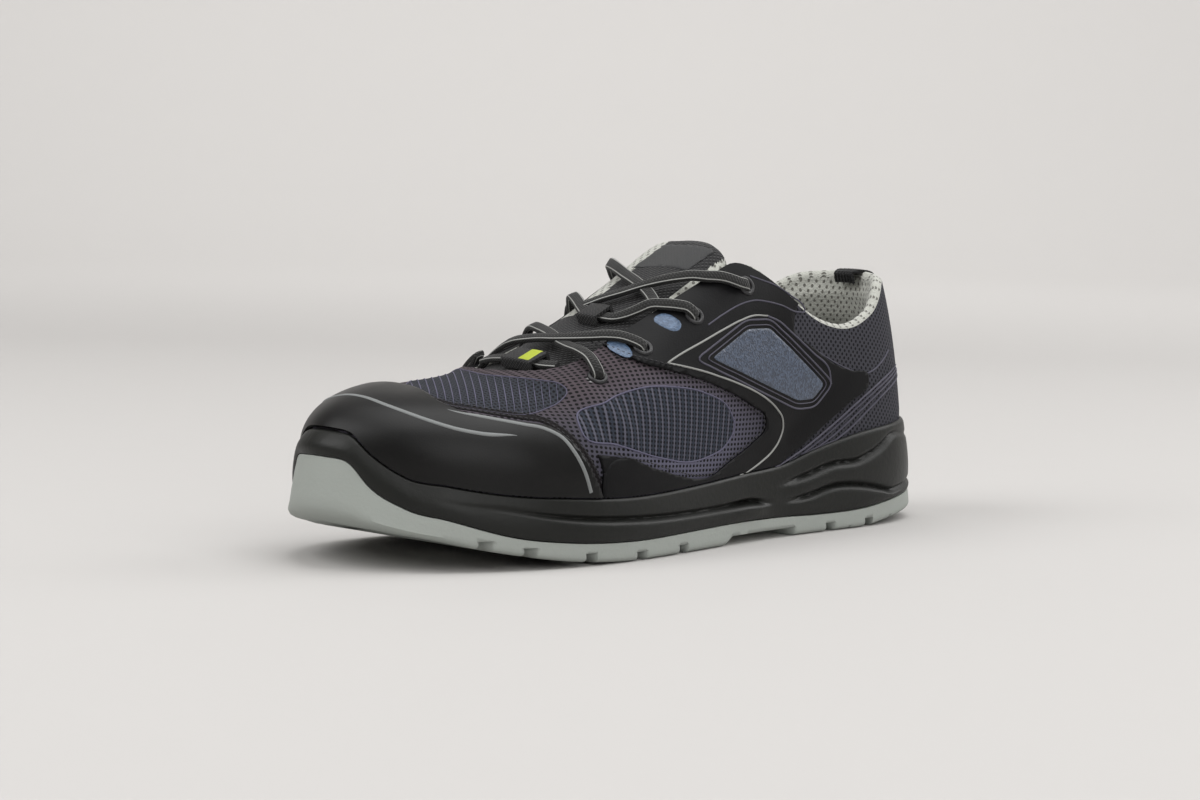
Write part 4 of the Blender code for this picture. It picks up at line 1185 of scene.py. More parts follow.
def lowered(side: Side, station: float, share: float) -> float:
    """Share of the instep height that a point of the outer side has on a side of the foot."""
    if side is Side.LATERAL:
        return share
    drop = float(MEDIAL_DROP.at("drop", station))
    return share - drop * float(smooth_step((share - 0.25) / 0.35))


def outline_height(side: Side, station: float, share: float) -> float:
    """Height of an outline's point, tied to the sole's rim below and to the instep above.

    Args:
        side: Side of the foot.
        station: Place along the shoe.
        share: Height as a share of the instep height.

    Returns:
        The height in metres.
    """
    rim, rim_share = 0.6 * FORM.sole_height, 0.218
    share = lowered(side, station, share)
    return rim + (share - rim_share) * (FORM.instep_height - rim) / (1 - rim_share)


# Soft folds of the flexing vamp and quarters: stations and heights in mm on the outer side, then
# depth and half width in mm
CREASES = [
    (((0.735, 60.0), (0.700, 52.0), (0.672, 42.0)), 0.7, 5.0),
    (((0.700, 64.0), (0.676, 56.0), (0.650, 46.0)), -0.5, 5.0),
    (((0.655, 60.0), (0.640, 50.0), (0.610, 38.0)), 0.5, 6.0),
    (((0.470, 62.0), (0.420, 72.0), (0.350, 78.0)), 0.5, 6.0),
    (((0.330, 40.0), (0.250, 55.0), (0.180, 66.0)), 0.6, 6.0),
]


class Surface:
    """The closed outer surface of the upper, on which panels, lines and stitches are laid."""

    def __init__(self, form: ShoeForm) -> None:
        """Build the surface and its search tree.

        Args:
            form: The shoe's form.
        """
        self.form = form
        self.stations = [[form.rib(side, k / 60).station for k in range(61)] for side in Side]
        self.creases: list[tuple[Array, float, float]] = []
        grids = [self.grid(side, [k / 220 for k in range(221)], 90, True, False) for side in Side]
        plain = Skin(grids, (True, False))
        self.tree = BVHTree.FromPolygons(plain.points.tolist(), plain.faces)
        for knots, depth, width in CREASES:
            flat = self.side_points(knots)
            for side in Side:
                path, _ = self.lay(resample(smooth_line(flat), 4 * MM), View.SIDE, side)
                self.creases.append((path, depth * MM, width * MM))
        plain.press(self.crease_depth)
        self.tree = BVHTree.FromPolygons(plain.points.tolist(), plain.faces)

    def grid(self, side: Side, shares: Sequence[float], rows: int, closed: bool, foot: bool = True) -> Array:
        """Grid of points on one side, a column for each rib."""
        ribs = [self.form.rib(side, share) for share in shares]
        return np.array([self.form.profile(rib, rows, closed, foot) for rib in ribs])

    def crease_depth(self, points: Array) -> Array:
        """Move along the normal that the creases give each point."""
        move = np.zeros(len(points))
        for path, depth, width in self.creases:
            move -= depth * np.exp(-((line_distance(points, path) / width) ** 2))
        return move

    def side_points(self, knots: Knots, side: Side = Side.LATERAL) -> Array:
        """Flat (y, z) points in metres from stations and heights in mm of the outer side."""
        high = self.form.instep_height
        return np.array([(self.form.along(s), lowered(side, s, z * MM / high) * high) for s, z in knots])

    def top_points(self, knots: Knots) -> Array:
        """Flat (x, y) points in metres from distances from the middle in mm and stations."""
        return np.array([(x * MM, self.form.along(station)) for x, station in knots])

    def rib_at(self, side: Side, station: float) -> Rib:
        """Rib whose middle stands at a station."""
        return self.form.rib(side, float(np.interp(station, self.stations[side], np.arange(61) / 60)))

    def point(self, side: Side, station: float, reach: float) -> tuple[Array, Array]:
        """Point and normal at a station and a distance from the ridge."""
        small = 1e-4
        behind, here, ahead = (self.rib_at(side, station + step) for step in (-small, 0.0, small))
        spot = here.points(reach, here.height_at(reach))
        forward = ahead.points(reach, ahead.height_at(reach)) - behind.points(reach, behind.height_at(reach))
        outward = here.points(reach + small, here.height_at(reach + small)) - spot
        return spot, unit(np.cross(forward, outward) * side.sign)

    def lay(self, flat: Array, view: View, side: Side) -> tuple[Array, Array]:
        """Drop flat points on the surface.

        Args:
            flat: (y, z) points for a side view, (x, y) points for a top view.
            view: Direction of the drop.
            side: Side of the foot, for a side view.

        Returns:
            Points on the surface, and its normals there.
        """
        points, normals = [], []
        for u, v in flat:
            if view is View.SIDE:
                origin, direction = Vector((0.2 * side.sign, u, v)), Vector((-side.sign, 0, 0))
            else:
                origin, direction = Vector((u, v, 0.3)), Vector((0, 0, -1))
            place, normal, _, _ = self.tree.ray_cast(origin, direction)
            if place is None:
                place, normal, _, _ = self.tree.find_nearest(origin + direction * 0.16)
            points.append(place)
            normals.append(normal)
        return np.array(points), np.array(normals)

    def nearest(self, points: Array) -> tuple[Array, Array]:
        """Nearest points of the surface, and its normals there."""
        found = [self.tree.find_nearest(Vector(p))[:2] for p in points]
        return np.array([f[0] for f in found]), np.array([f[1] for f in found])

    def panel(
        self, outline: Array, view: View, side: Side, low: float, high: float, step: float = 1.4 * MM,
    ) -> Mesh:
        """Thin raised panel over the surface.

        Args:
            outline: Flat closed outline.
            view: Direction in which the outline is laid.
            side: Side of the foot.
            low: Height of its hidden underside.
            high: Height of its face.
            step: Size of its facets.

        Returns:
            The closed panel.
        """
        ring = counter_clockwise(resample(np.vstack([outline, outline[:1]]), step)[:-1])
        tangent = unit(np.roll(ring, -1, axis=0) - np.roll(ring, 1, axis=0))
        inner = ring + np.stack([-tangent[:, 1], tangent[:, 0]], 1) * 0.45 * MM
        axes = [np.arange(ring[:, k].min(), ring[:, k].max(), step) for k in (0, 1)]
        inner = np.vstack([inner, np.stack(np.meshgrid(*axes), 2).reshape(-1, 2)])
        inner = inner[inside(inner, ring)]
        loop = np.vstack([ring, ring[:1]])
        inner = inner[line_distance(inner, loop) > 0.35 * MM]
        flat = np.vstack([ring, inner])
        count = len(ring)
        edges = [(k, (k + 1) % count) for k in range(count)]
        spots, _, faces, _, _, _ = delaunay_2d_cdt([Vector(p) for p in flat], edges, [], 0, 1e-7)
        flat = np.array(spots)
        middles = np.array([flat[list(face)].mean(0) for face in faces])
        faces = [tuple(face) for face, kept in zip(faces, inside(middles, ring)) if kept]
        flip = view is View.SIDE and side is Side.MEDIAL
        if flip:
            faces = [face[::-1] for face in faces]
        base, normals = self.lay(flat, view, side)
        border = border_edges(faces)
        lift = np.full(len(flat), high)
        lift[[k for pair in border for k in pair]] = low + 0.45 * (high - low)
        total = len(flat)
        walls = [(a + total, b + total, b, a) for a, b in border]
        points = np.vstack([base + normals * lift[:, None], base + normals * low])
        all_faces = faces + [tuple(k + total for k in face[::-1]) for face in faces] + walls
        cloth = [tuple(tuple(flat[k % total]) for k in face) for face in all_faces]
        return Mesh(points, all_faces, cloth, [0] * len(all_faces))

    def line(
        self, knots: Array, view: View, side: Side, width: float, height: float, base: float = 0.0,
        closed: bool = False, taper: tuple[float, float] = (1.0, 1.0),
    ) -> Mesh:
        """Raised line over the surface.

        Args:
            knots: Flat points that it follows.
            view: Direction in which they are laid.
            side: Side of the foot.
            width: Its width.
            height: Its height over its base.
            base: Height of its underside.
            closed: Whether it is a loop.
            taper: Its size at its two ends, as a share.

        Returns:
            The line.
        """
        flat = smooth_line(knots, closed)
        flat = resample(np.vstack([flat, flat[:1]]) if closed else flat, 1.1 * MM)
        flat = flat[:-1] if closed else flat
        path, normals = self.lay(flat, view, side)
        return ribbon(path + normals * base, normals, width, height, closed, taper)


def ribbon(
    path: Array, normals: Array, width: float, height: float, closed: bool = False,
    taper: tuple[float, float] = (1.0, 1.0),
) -> Mesh:
    """Line with a flat foot and a rounded back.

    Args:
        path: Its points.
        normals: Direction of its back at each.
        width: Its width.
        height: Its height.
        closed: Whether it is a loop.
        taper: Its size at its two ends, as a share.

    Returns:
        The line.
    """
    turns = np.linspace(math.pi, 0, 6)
    section = [(-width / 2, -0.0002)] + [(math.cos(t) * width / 2, math.sin(t) * height) for t in turns]
    section = np.array(section + [(width / 2, -0.0002)])
    ends = smooth_step(np.minimum(np.arange(len(path)), np.arange(len(path))[::-1]) / 12)
    share = np.linspace(0, 1, len(path)) < 0.5
    scale = np.where(share, taper[0] + (1 - taper[0]) * ends, taper[1] + (1 - taper[1]) * ends)
    return sweep(path, normals, section, scale, closed)


class StitchRow:
    """Row of stitches along a path, laid by geometry nodes."""

    def __init__(self) -> None:
        """Build the node tree: a capsule at even steps along a curve."""
        tree = bpy.data.node_groups.new("stitch_row", "GeometryNodeTree")
        sockets = {
            "Path": "Geometry", "Spacing": "Float", "Length": "Float", "Thickness": "Float",
            "Thread": "Material",
        }
        for name, kind in sockets.items():
            tree.interface.new_socket(name, in_out="INPUT", socket_type=f"NodeSocket{kind}")
        tree.interface.new_socket("Row", in_out="OUTPUT", socket_type="NodeSocketGeometry")
        source = add_node(tree, "NodeGroupInput").outputs
        even = add_node(
            tree, "GeometryNodeResampleCurve", {"mode": "LENGTH"}, Curve=source["Path"],
            Length=source["Spacing"],
        )
        bead = add_node(tree, "GeometryNodeMeshUVSphere", Segments=6, Rings=5, Radius=1.0)
        size = add_node(
            tree, "ShaderNodeCombineXYZ", X=source["Thickness"], Y=source["Thickness"], Z=source["Length"],
        )
        tangent = add_node(tree, "GeometryNodeInputTangent")
        turn = add_node(
            tree, "FunctionNodeAlignRotationToVector", {"axis": "Z"}, Vector=tangent.outputs["Tangent"],
        )
        laid = add_node(
            tree, "GeometryNodeInstanceOnPoints", Points=even.outputs["Curve"], Instance=bead.outputs["Mesh"],
            Rotation=turn.outputs["Rotation"], Scale=size.outputs["Vector"],
        )
        real = add_node(tree, "GeometryNodeRealizeInstances", Geometry=laid.outputs["Instances"])
        dressed = add_node(
            tree, "GeometryNodeSetMaterial", Geometry=real.outputs["Geometry"], Material=source["Thread"],
        )
        add_node(tree, "NodeGroupOutput", Row=dressed.outputs["Geometry"])
        self.tree = tree
        inputs = [item for item in tree.interface.items_tree if item.in_out == "INPUT"]
        self.keys = {item.name: item.identifier for item in inputs}

    def sew(
        self, name: str, paths: Sequence[Array], spacing: float, thickness: float, thread: Material,
    ) -> Object:
        """Sew stitches along paths.

        Args:
            name: Name of the row.
            paths: Points of each path.
            spacing: Distance from one stitch to the next.
            thickness: Radius of the thread.
            thread: Its finish.

        Returns:
            The stitches as a plain mesh.
        """
        curve = bpy.data.curves.new(name, "CURVE")
        curve.dimensions = "3D"
        for path in paths:
            spline = curve.splines.new("POLY")
            spline.points.add(len(path) - 1)
            spline.points.foreach_set("co", np.hstack([path, np.ones((len(path), 1))]).ravel())
        holder = bpy.data.objects.new(f"{name}_path", curve)
        bpy.context.scene.collection.objects.link(holder)
        sewing = holder.modifiers.new("stitches", "NODES")
        sewing.node_group = self.tree
        sewing[self.keys["Spacing"]] = spacing
        sewing[self.keys["Length"]] = spacing * 0.36
        sewing[self.keys["Thickness"]] = thickness
        sewing[self.keys["Thread"]] = thread
        bpy.context.view_layer.update()
        graph = bpy.context.evaluated_depsgraph_get()
        data = bpy.data.meshes.new_from_object(holder.evaluated_get(graph), depsgraph=graph)
        bpy.data.objects.remove(holder)
        data.name = name
        data.shade_smooth()
        row = bpy.data.objects.new(name, data)
        bpy.context.scene.collection.objects.link(row)
        return row


def wear(piece: Object, slot: str, *nodes: str) -> Object:
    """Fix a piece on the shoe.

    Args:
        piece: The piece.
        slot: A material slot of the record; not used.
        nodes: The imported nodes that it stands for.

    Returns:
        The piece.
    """
    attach(piece, BODY)
    if nodes:
        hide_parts(*nodes)
    LOG.info("%s: %d faces", piece.name, len(piece.data.polygons))
    return piece


# The sole


@dataclass
class Sole:
    """Outsole, midsole and insole."""

    form: ShoeForm
    finishes: Finishes
    columns: int = 170
    bumper_wall: float = 0.0052
    outsole_floor: float = 0.0053
    outsole_ledge: float = 0.0021
    edge_round: float = 0.0030
    toe_round: float = 0.0085
    tread_depth: float = 0.0035
    tread_width: float = 0.0052
    tread_chevron: float = 0.012
    arch_rise: float = 0.0035
    arch_front: float = 0.495
    arch_back: float = 0.322
    arch_slope: float = 0.012
    tread: tuple[float, ...] = (0.170, 0.250, 0.561, 0.644, 0.728, 0.812, 0.865)
    more_sipes: tuple[float, ...] = (0.120, 0.210, 0.937, 0.968)
    side_middle: float = 0.45
    side_curve: float = 1.6
    groove_depth: float = 0.0018
    groove_half: float = 0.0010
    bulge: float = 0.45
    rim_lip: float = 0.0016
    rim_from: float = 0.93
    rim_round: float = 0.0009
    insole_thickness: float = 0.0045
    fit: float = 0.0003

    def __post_init__(self) -> None:
        """Lay the ribs that the sole's rings follow."""
        shares = [k / self.columns for k in range(self.columns + 1)]
        self.ribs = [[self.form.rib(side, share) for share in shares] for side in Side]

    def ring(self, place: Callable[[Rib], Array]) -> Array:
        """Closed ring of points, one for each rib of both sides."""
        lateral, medial = ([place(rib) for rib in ribs] for ribs in self.ribs)
        return np.array(lateral + medial[-2:0:-1])

    def stack(self, rings: Sequence[Array]) -> Mesh:
        """Closed body from stacked rings, capped across the foot.

        Args:
            rings: Rings from the lowest to the highest.

        Returns:
            The body, its map running along and up its side.
        """
        size, half = len(rings[0]), len(rings[0]) // 2
        points = np.concatenate(rings)
        faces, corners = [], []
        for level in range(len(rings) - 1):
            low, high = level * size, (level + 1) * size
            for i in range(size):
                j = (i + 1) % size
                face = (low + i, high + i, high + j, low + j)
                faces.append(face)
                corners.append(tuple((float(points[k][1]), float(points[k][2])) for k in face))
        last = (len(rings) - 1) * size
        for i in range(half):
            cap = (i, i + 1, (size - i - 1) % size, (size - i) % size)
            cap = cap if i else cap[:3]
            cap = cap if i < half - 1 else (cap[0], cap[1], cap[3])
            for face in (cap, tuple(last + k for k in reversed(cap))):
                faces.append(face)
                corners.append(tuple((float(points[k][0]), float(points[k][1])) for k in face))
        return Mesh(points, faces, corners)

    def cup_floor(self, rib: Rib) -> float:
        """Top of the outsole's floor."""
        return min(rib.split - self.outsole_ledge, rib.ground + self.outsole_floor)

    def plan(self, offset: float, height: float, rib: Rib) -> Array:
        """Point off the sole's outline."""
        x, y = rib.edge + rib.normal * offset
        return np.array([x, y, height])

    def outsole(self) -> Object:
        """Tread cup with its toe bumper, lugs, side steps and arch."""
        turn = [math.pi / 2 * k / 5 for k in range(6)]

        def toe_share(rib: Rib) -> float:
            """Share of the toe's fuller rounding at a rib."""
            return float(smooth_step((rib.foot_station - 0.87) / 0.07))

        def edge_point(rib: Rib, t: float) -> Array:
            """Point of the rounded lower edge, an angle up from the ground."""
            toe = toe_share(rib)
            out = -(self.edge_round + self.toe_round * toe) * (1 - math.sin(t))
            rise = (1 - math.cos(t)) * self.side_middle * (rib.split - rib.ground) * (0.6 + 0.1 * toe)
            return self.plan(out, rib.ground + rise, rib)

        rings = [self.ring(lambda r, t=t: edge_point(r, t)) for t in turn]
        rings += [
            self.ring(lambda r, s=share: self.plan(
                -r.tuck * s * s,
                r.ground + s * (r.split - r.ground) - 0.0001,
                r,
            ))
            for share in (0.45, 0.65, 0.85, 1.0)
        ]
        rings += [
            self.ring(lambda r: self.plan(-r.tuck - 0.0007, r.split, r)),
            self.ring(lambda r: self.plan(-self.bumper_wall, r.split, r)),
            self.ring(lambda r: self.plan(-self.bumper_wall, self.cup_floor(r), r)),
        ]
        sole = build_object("outsole_rubber_cup", self.stack(rings), [self.finishes.rubber], 35)
        reach, rise = self.form.ball_width, self.arch_rise
        back, front = self.form.along(self.arch_back), self.form.along(self.arch_front)
        arch = [(back, -rise), (back, rise), (front + self.arch_slope, rise), (front, -rise)]
        cutters = [prism("arch", np.array(arch), "X", -reach, reach)]
        for k, station in enumerate(self.tread):
            cutters.append(self.chevron(f"lug_groove_{k}", station, self.tread_width, self.tread_depth))
        sipes = [(a + b) / 2 for a, b in zip(self.tread[2:-2], self.tread[3:-1])]
        for k, station in enumerate((*sipes, *self.more_sipes)):
            cutters.append(self.chevron(f"sipe_{k}", station, 1.3 * MM, 1.8 * MM, 0.86))
        carve(sole, cutters, "DIFFERENCE")
        return wear(sole, "outsole_rubber", "outsole")

    def chevron(self, name: str, station: float, width: float, depth: float, share: float = 2.0) -> Object:
        """Cutter of one cross groove.

        Args:
            name: Its name.
            station: Where its ends lie.
            width: Its width.
            depth: Its depth.
            share: How far it reaches, as a share of half the ball width.

        Returns:
            The cutter.
        """
        quarter, y = self.form.ball_width / 4, self.form.along(station)
        reach = self.form.ball_width / 2 * share
        front = [(-reach, y), (-quarter, y), (0.0, y - self.tread_chevron), (quarter, y), (reach, y)]
        outline = [(a, b - width / 2) for a, b in front] + [(a, b + width / 2) for a, b in front[::-1]]
        ground = float(SOLE.at("ground", station)) * self.form.sole_height
        return prism(name, np.array(outline), "Z", -self.form.sole_height, ground + depth)

    def side_line(self, rib: Rib, name: str) -> tuple[float, float]:
        """Height and depth of a moulded line on the midsole's side."""
        margin = 0.12 * (rib.rim - rib.split)
        height = float(SIDE_LINES.at(name, rib.foot_station)) * self.form.sole_height
        depth = max(0.0, float(SIDE_LINES.at(f"{name}_depth", rib.foot_station))) * self.groove_depth
        return float(np.clip(height, rib.split + margin, rib.rim - margin)), depth

    def side_point(self, rib: Rib, share: float) -> Array:
        """Point of the midsole's side at a share of its height."""
        z = rib.split + share * (rib.rim - rib.split)
        low = rib.edge - rib.normal * rib.tuck * (1 - share) ** 2
        over = rib.points(rib.radius_at(rib.rim) + self.rim_lip, rib.rim)[:2]
        (low_z, low_d), (high_z, high_d) = self.side_line(rib, "low"), self.side_line(rib, "high")
        depth = low_d * math.exp(-(((z - low_z) / self.groove_half) ** 2))
        depth += high_d * math.exp(-(((z - high_z) / self.groove_half) ** 2))
        below = (z - (rib.split + low_z) / 2) / max(1e-4, (low_z - rib.split) / 2)
        between = (z - (low_z + high_z) / 2) / max(1e-4, (high_z - low_z) / 2)
        depth -= self.bulge * low_d * max(0.0, 1 - below**2)
        depth -= self.bulge * high_d * max(0.0, 1 - between**2)
        edge = 0.0
        if share > self.rim_from:
            past = (share - self.rim_from) / (1 - self.rim_from)
            edge = self.rim_round * (1 - math.sqrt(max(0.0, 1 - past**2)))
        x, y = low + (over - low) * share**self.side_curve - rib.normal * (depth + edge)
        return np.array([x, y, z])

    def midsole(self) -> Object:
        """Foam body with its moulded side, a rim around the upper and a bed inside."""
        inner = self.bumper_wall + self.fit
        rings = [
            self.ring(lambda r: self.plan(-inner, self.cup_floor(r) + self.fit, r)),
            self.ring(lambda r: self.plan(-inner, r.split + self.fit, r)),
            self.ring(lambda r: self.plan(-r.tuck - 0.0006, r.split + self.fit, r)),
        ]
        for share in (*np.linspace(0.025, self.rim_from, 44), 0.955, 0.98, 0.995):
            rings.append(self.ring(lambda r, s=share: self.side_point(r, float(s))))
        rings += [
            self.ring(lambda r: r.points(r.radius_at(r.rim) + self.fit, r.rim)),
            self.ring(lambda r: r.points(r.radius + self.fit, r.bed)),
        ]
        body = build_object("midsole_foam_body", self.stack(rings), [self.finishes.foam], 50)
        return wear(body, "midsole_foam", "midsole")

    def insole(self) -> Object:
        """Loose footbed with a rounded edge and a cupped heel."""
        inset, thick = self.form.wall + 2 * self.fit, self.insole_thickness

        def level(inward: float, lift: float) -> Array:
            """Ring of the footbed, some way inward and up."""
            return self.ring(lambda r: r.points(r.radius - inset - inward, r.bed + self.fit + lift))

        steps = (
            (0.0, 0.0002), (0.0, thick * 0.7), (0.0006, thick * 0.92), (0.0018, thick),
            (0.006, thick - 0.0006), (0.012, thick - 0.001),
        )
        rings = [level(inward, lift) for inward, lift in steps]
        bed = build_object("insole_footbed", self.stack(rings), [self.finishes.sock], 50)
        return wear(bed, "insole_cloth", "insole")


# The upper

# Eyelets from the front: station, share of the instep height
EYELETS = ((0.655, 0.590), (0.577, 0.672), (0.488, 0.772), (0.392, 0.868))

# Rear edge of the toe cap and edge of the film overlay: station, share of the instep height
CAP_EDGE = (
    (0.700, 0.00), (0.706, 0.22), (0.721, 0.292), (0.734, 0.356), (0.746, 0.405), (0.763, 0.448),
    (0.788, 0.462), (0.835, 0.485), (0.862, 0.505), (0.870, 0.530), (0.862, 0.560), (0.845, 0.62),
)
FILM_EDGE = (
    (0.640, 1.30), (0.640, 1.30), (0.640, 0.80), (0.622, 0.690), (0.602, 0.640), (0.565, 0.608),
    (0.520, 0.578), (0.465, 0.532), (0.405, 0.465), (0.376, 0.420), (0.377, 0.380), (0.400, 0.340),
    (0.450, 0.285), (0.500, 0.237), (0.515, 0.237), (0.560, 0.257), (0.614, 0.295), (0.680, 0.335),
    (0.694, 0.318), (0.692, 0.05), (0.692, 0.05), (0.354, 0.05), (0.354, 0.05), (0.350, 0.235),
    (0.300, 0.310), (0.250, 0.385), (0.200, 0.455), (0.165, 0.510), (0.165, 0.540), (0.200, 0.560),
    (0.240, 0.592), (0.278, 0.650), (0.315, 0.715), (0.312, 0.760), (0.285, 0.860), (0.285, 1.30),
    (0.285, 1.30),
)


@dataclass
class Upper:
    """Shell, toe cap, films and the panels, lines and stitches on them."""

    form: ShoeForm
    surface: Surface
    finishes: Finishes
    stitches: StitchRow
    columns: int = 150
    rows: int = 46
    fit: float = 0.0003
    cap_thickness: float = 0.0014
    film_thickness: float = 0.0008
    overlay_lift: float = 0.0009
    eyelet_bore: float = 0.0046
    bore_reach: float = 0.008
    heel_mesh_end: float = 0.33
    padding_end: float = 0.37
    padding_lip: float = 0.007
    lining_end: float = 0.41
    throat_lip: float = 0.0005
    collar_lip: float = 0.0016

    def eyelet_frames(self) -> list[tuple[Side, int, Array, Array]]:
        """Side, row, point and normal of each eyelet."""
        frames = []
        for side in Side:
            for k, (station, height) in enumerate(EYELETS):
                rib = self.surface.rib_at(side, station)
                reach = float(rib.radius_at(outline_height(side, station, height)))
                point, normal = self.surface.point(side, station, reach)
                frames.append((side, k, point, normal))
        return frames

    def bores(self, only: Side | None = None, first: int = 0) -> list[Object]:
        """Cutters of the eyelets' holes."""
        cutters = []
        for side, k, point, normal in self.eyelet_frames():
            if (only is None or side is only) and k >= first:
                path = np.array([point - normal * self.bore_reach, point, point + normal * self.bore_reach])
                turn = np.linspace(0, -2 * math.pi, 25)[:-1]
                section = np.stack([np.cos(turn), np.sin(turn)], 1) * self.eyelet_bore / 2
                up = [0.0, 0.0, 1.0] if abs(normal[2]) < 0.8 else [0.0, 1.0, 0.0]
                tube = sweep(path, np.tile(up, (3, 1)), section)
                cutters.append(build_object(f"bore_{side.name}_{k}", tube, []))
        return cutters

    def padding(self, skin: Skin, shares: Sequence[float]) -> Array:
        """Extra wall of the padded collar at each point of the skin."""
        extra = np.zeros(len(skin.points))
        rows = self.rows + 1
        for side in Side:
            for k, share in enumerate(shares):
                rib = self.form.rib(side, share)
                top = self.form.top(rib)
                index = skin.place[(side * len(shares) + k) * rows:(side * len(shares) + k + 1) * rows]
                depth = top - skin.points[index, 2]
                amount = self.form.collar_padding * smooth_step((self.padding_end - rib.station) / 0.06)
                full = smooth_step((self.form.padding_depth - depth) / (0.6 * self.form.padding_depth))
                extra[index] = amount * full * (1 - 0.5 * smooth_step(1 - depth / self.padding_lip))
        return extra

    def thread_colours(self, points: Array) -> Array:
        """Colour of the mesh's thread at each point: plum vamp, lilac window, dark heel."""
        station = 0.5 - points[:, 1] / self.form.length
        plum, lilac, navy, heel = (np.array(linear(c)) for c in ("#484045", "#676679", "#3d404d", "#3e3e48"))
        low = smooth_step((0.062 - points[:, 2]) / 0.02)[:, None]
        near = smooth_step(1 - np.hypot((station - 0.55) / 0.2, (points[:, 2] - 0.042) / 0.03))[:, None]
        colour = plum + (navy - plum) * low * 0.6
        colour = colour + (lilac - colour) * near
        rear = smooth_step((0.40 - station) / 0.05)[:, None]
        return colour + (heel - colour) * rear

    def shell(self) -> Object:
        """Hollow shell with its padded collar, lining, open throat and eyelet bores."""
        shares = self.form.shares(self.columns)
        grids = [self.surface.grid(side, shares, self.rows, False) for side in Side]
        skin = Skin(grids, (True, False))
        extra = self.padding(skin, shares)
        skin.press(self.surface.crease_depth)
        level = skin.place[np.arange(0, 2 * len(shares) * (self.rows + 1), self.rows + 1)]
        skin.normals[level, 2] = 0.0
        skin.normals = unit(skin.normals)
        collar_y, heel_y = self.form.along(self.lining_end), self.form.along(self.heel_mesh_end)

        def lip(points: Array) -> Array:
            """How far the edge's rounding stands out, more at the collar."""
            back = smooth_step((points[:, 1] - collar_y) / 0.012)
            out = self.throat_lip + self.collar_lip * back
            return np.where(points[:, 2] < self.form.sole_height + 10 * MM, 0.0, out)

        wall = skin.wall(-self.form.wall - extra, 0.0, lip)
        dress = [self.finishes.mesh, self.finishes.lining, self.finishes.film, self.finishes.heel_mesh]
        mesh, lining, film, heel = range(len(dress))
        for k, face in enumerate(wall.faces):
            y = wall.points[face[0]][1]
            if wall.finish[k] == Layer.OUTSIDE:
                wall.finish[k] = heel if y > heel_y else mesh
            elif wall.finish[k] == Layer.LIP and y <= collar_y:
                wall.finish[k] = film
            else:
                wall.finish[k] = lining
        shell = build_object("upper_shell", wall, dress, 50)
        layer = shell.data.color_attributes.new("thread", "FLOAT_COLOR", "POINT")
        layer.data.foreach_set("color", self.thread_colours(wall.points).ravel())
        carve(shell, self.bores(), "DIFFERENCE")
        return wear(shell, "upper_mesh", "upper")

    def overlay_skin(self, first: float, last: float, sides: Sequence[Side]) -> Skin:
        """Outer surface between two stations, just over the sole's rim."""
        shares = self.form.shares(self.columns)
        kept = [s for s in shares if first < self.form.rib(Side.LATERAL, s).station < last]
        grids = []
        for side in sides:
            grid = self.surface.grid(side, kept, self.rows, False, foot=False)
            step = unit(grid[:, 1] - grid[:, 0])
            grid[:, 0] += step * self.overlay_lift * 0.5
            grids.append(grid)
        skin = Skin(grids, [side is Side.LATERAL for side in sides])
        skin.press(self.surface.crease_depth)
        return skin

    def outline(self, side: Side, edge: Knots) -> Array:
        """Outline of an overlay seen from the side, in metres."""
        return np.array([(self.form.along(s), outline_height(side, s, share)) for s, share in edge])

    def toe_cap(self) -> Object:
        """Moulded cap over the toe box."""
        skin = self.overlay_skin(0.67, 1.1, list(Side))
        wall = skin.wall(self.fit, self.fit + self.cap_thickness)
        cap = build_object("toe_cap_shell", wall, [self.finishes.cap] * 4, 50)
        edge = smooth_line(self.outline(Side.LATERAL, CAP_EDGE), fine=6)
        front = [(-self.form.length, edge[-1][1]), (-self.form.length, edge[0][1])]
        carve(cap, [prism("cap_cut", np.vstack([edge, front]), "X", -0.1, 0.1)], "INTERSECT")
        return wear(cap, "toe_cap_film", "toe_cap")

    def films(self) -> None:
        """Fused films over the quarters and eyestays."""
        for side in Side:
            outline = smooth_line(self.outline(side, FILM_EDGE), closed=True, fine=6)
            skin = self.overlay_skin(0.11, 0.73, [side])
            wall = skin.wall(self.fit, self.fit + self.film_thickness)
            film = build_object(f"film_overlay_{side.word}_skin", wall, [self.finishes.film] * 4, 50)
            low, high = sorted((0.0, side.sign * 0.1))
            carve(film, [prism("film_cut", outline, "X", low, high)], "INTERSECT")
            carve(film, self.bores(side, 1), "DIFFERENCE")
            wear(film, "overlay_film", f"film_overlay_{side.word}")

    def eyelet_rings(self) -> Object:
        """Raised rings around the eyelets."""
        turn = np.linspace(0, 2 * math.pi, 37)[:-1, None]
        radius = self.eyelet_bore / 2 + 0.7 * MM
        rings = []
        for _, k, point, normal in self.eyelet_frames():
            first = unit(np.cross(normal, [0.0, 1.0, 0.0]))
            second = np.cross(normal, first)
            flat = point + radius * (np.cos(turn) * first + np.sin(turn) * second)
            places, normals = self.surface.nearest(flat)
            base = self.fit + (self.film_thickness if k else 0.0)
            rings.append(ribbon(places + normals * (base - 0.0001), normals, 1.7 * MM, 0.9 * MM, True))
        return wear(build_object("eyelet_rings", merged(rings), [self.finishes.eyelet]), "overlay_film")


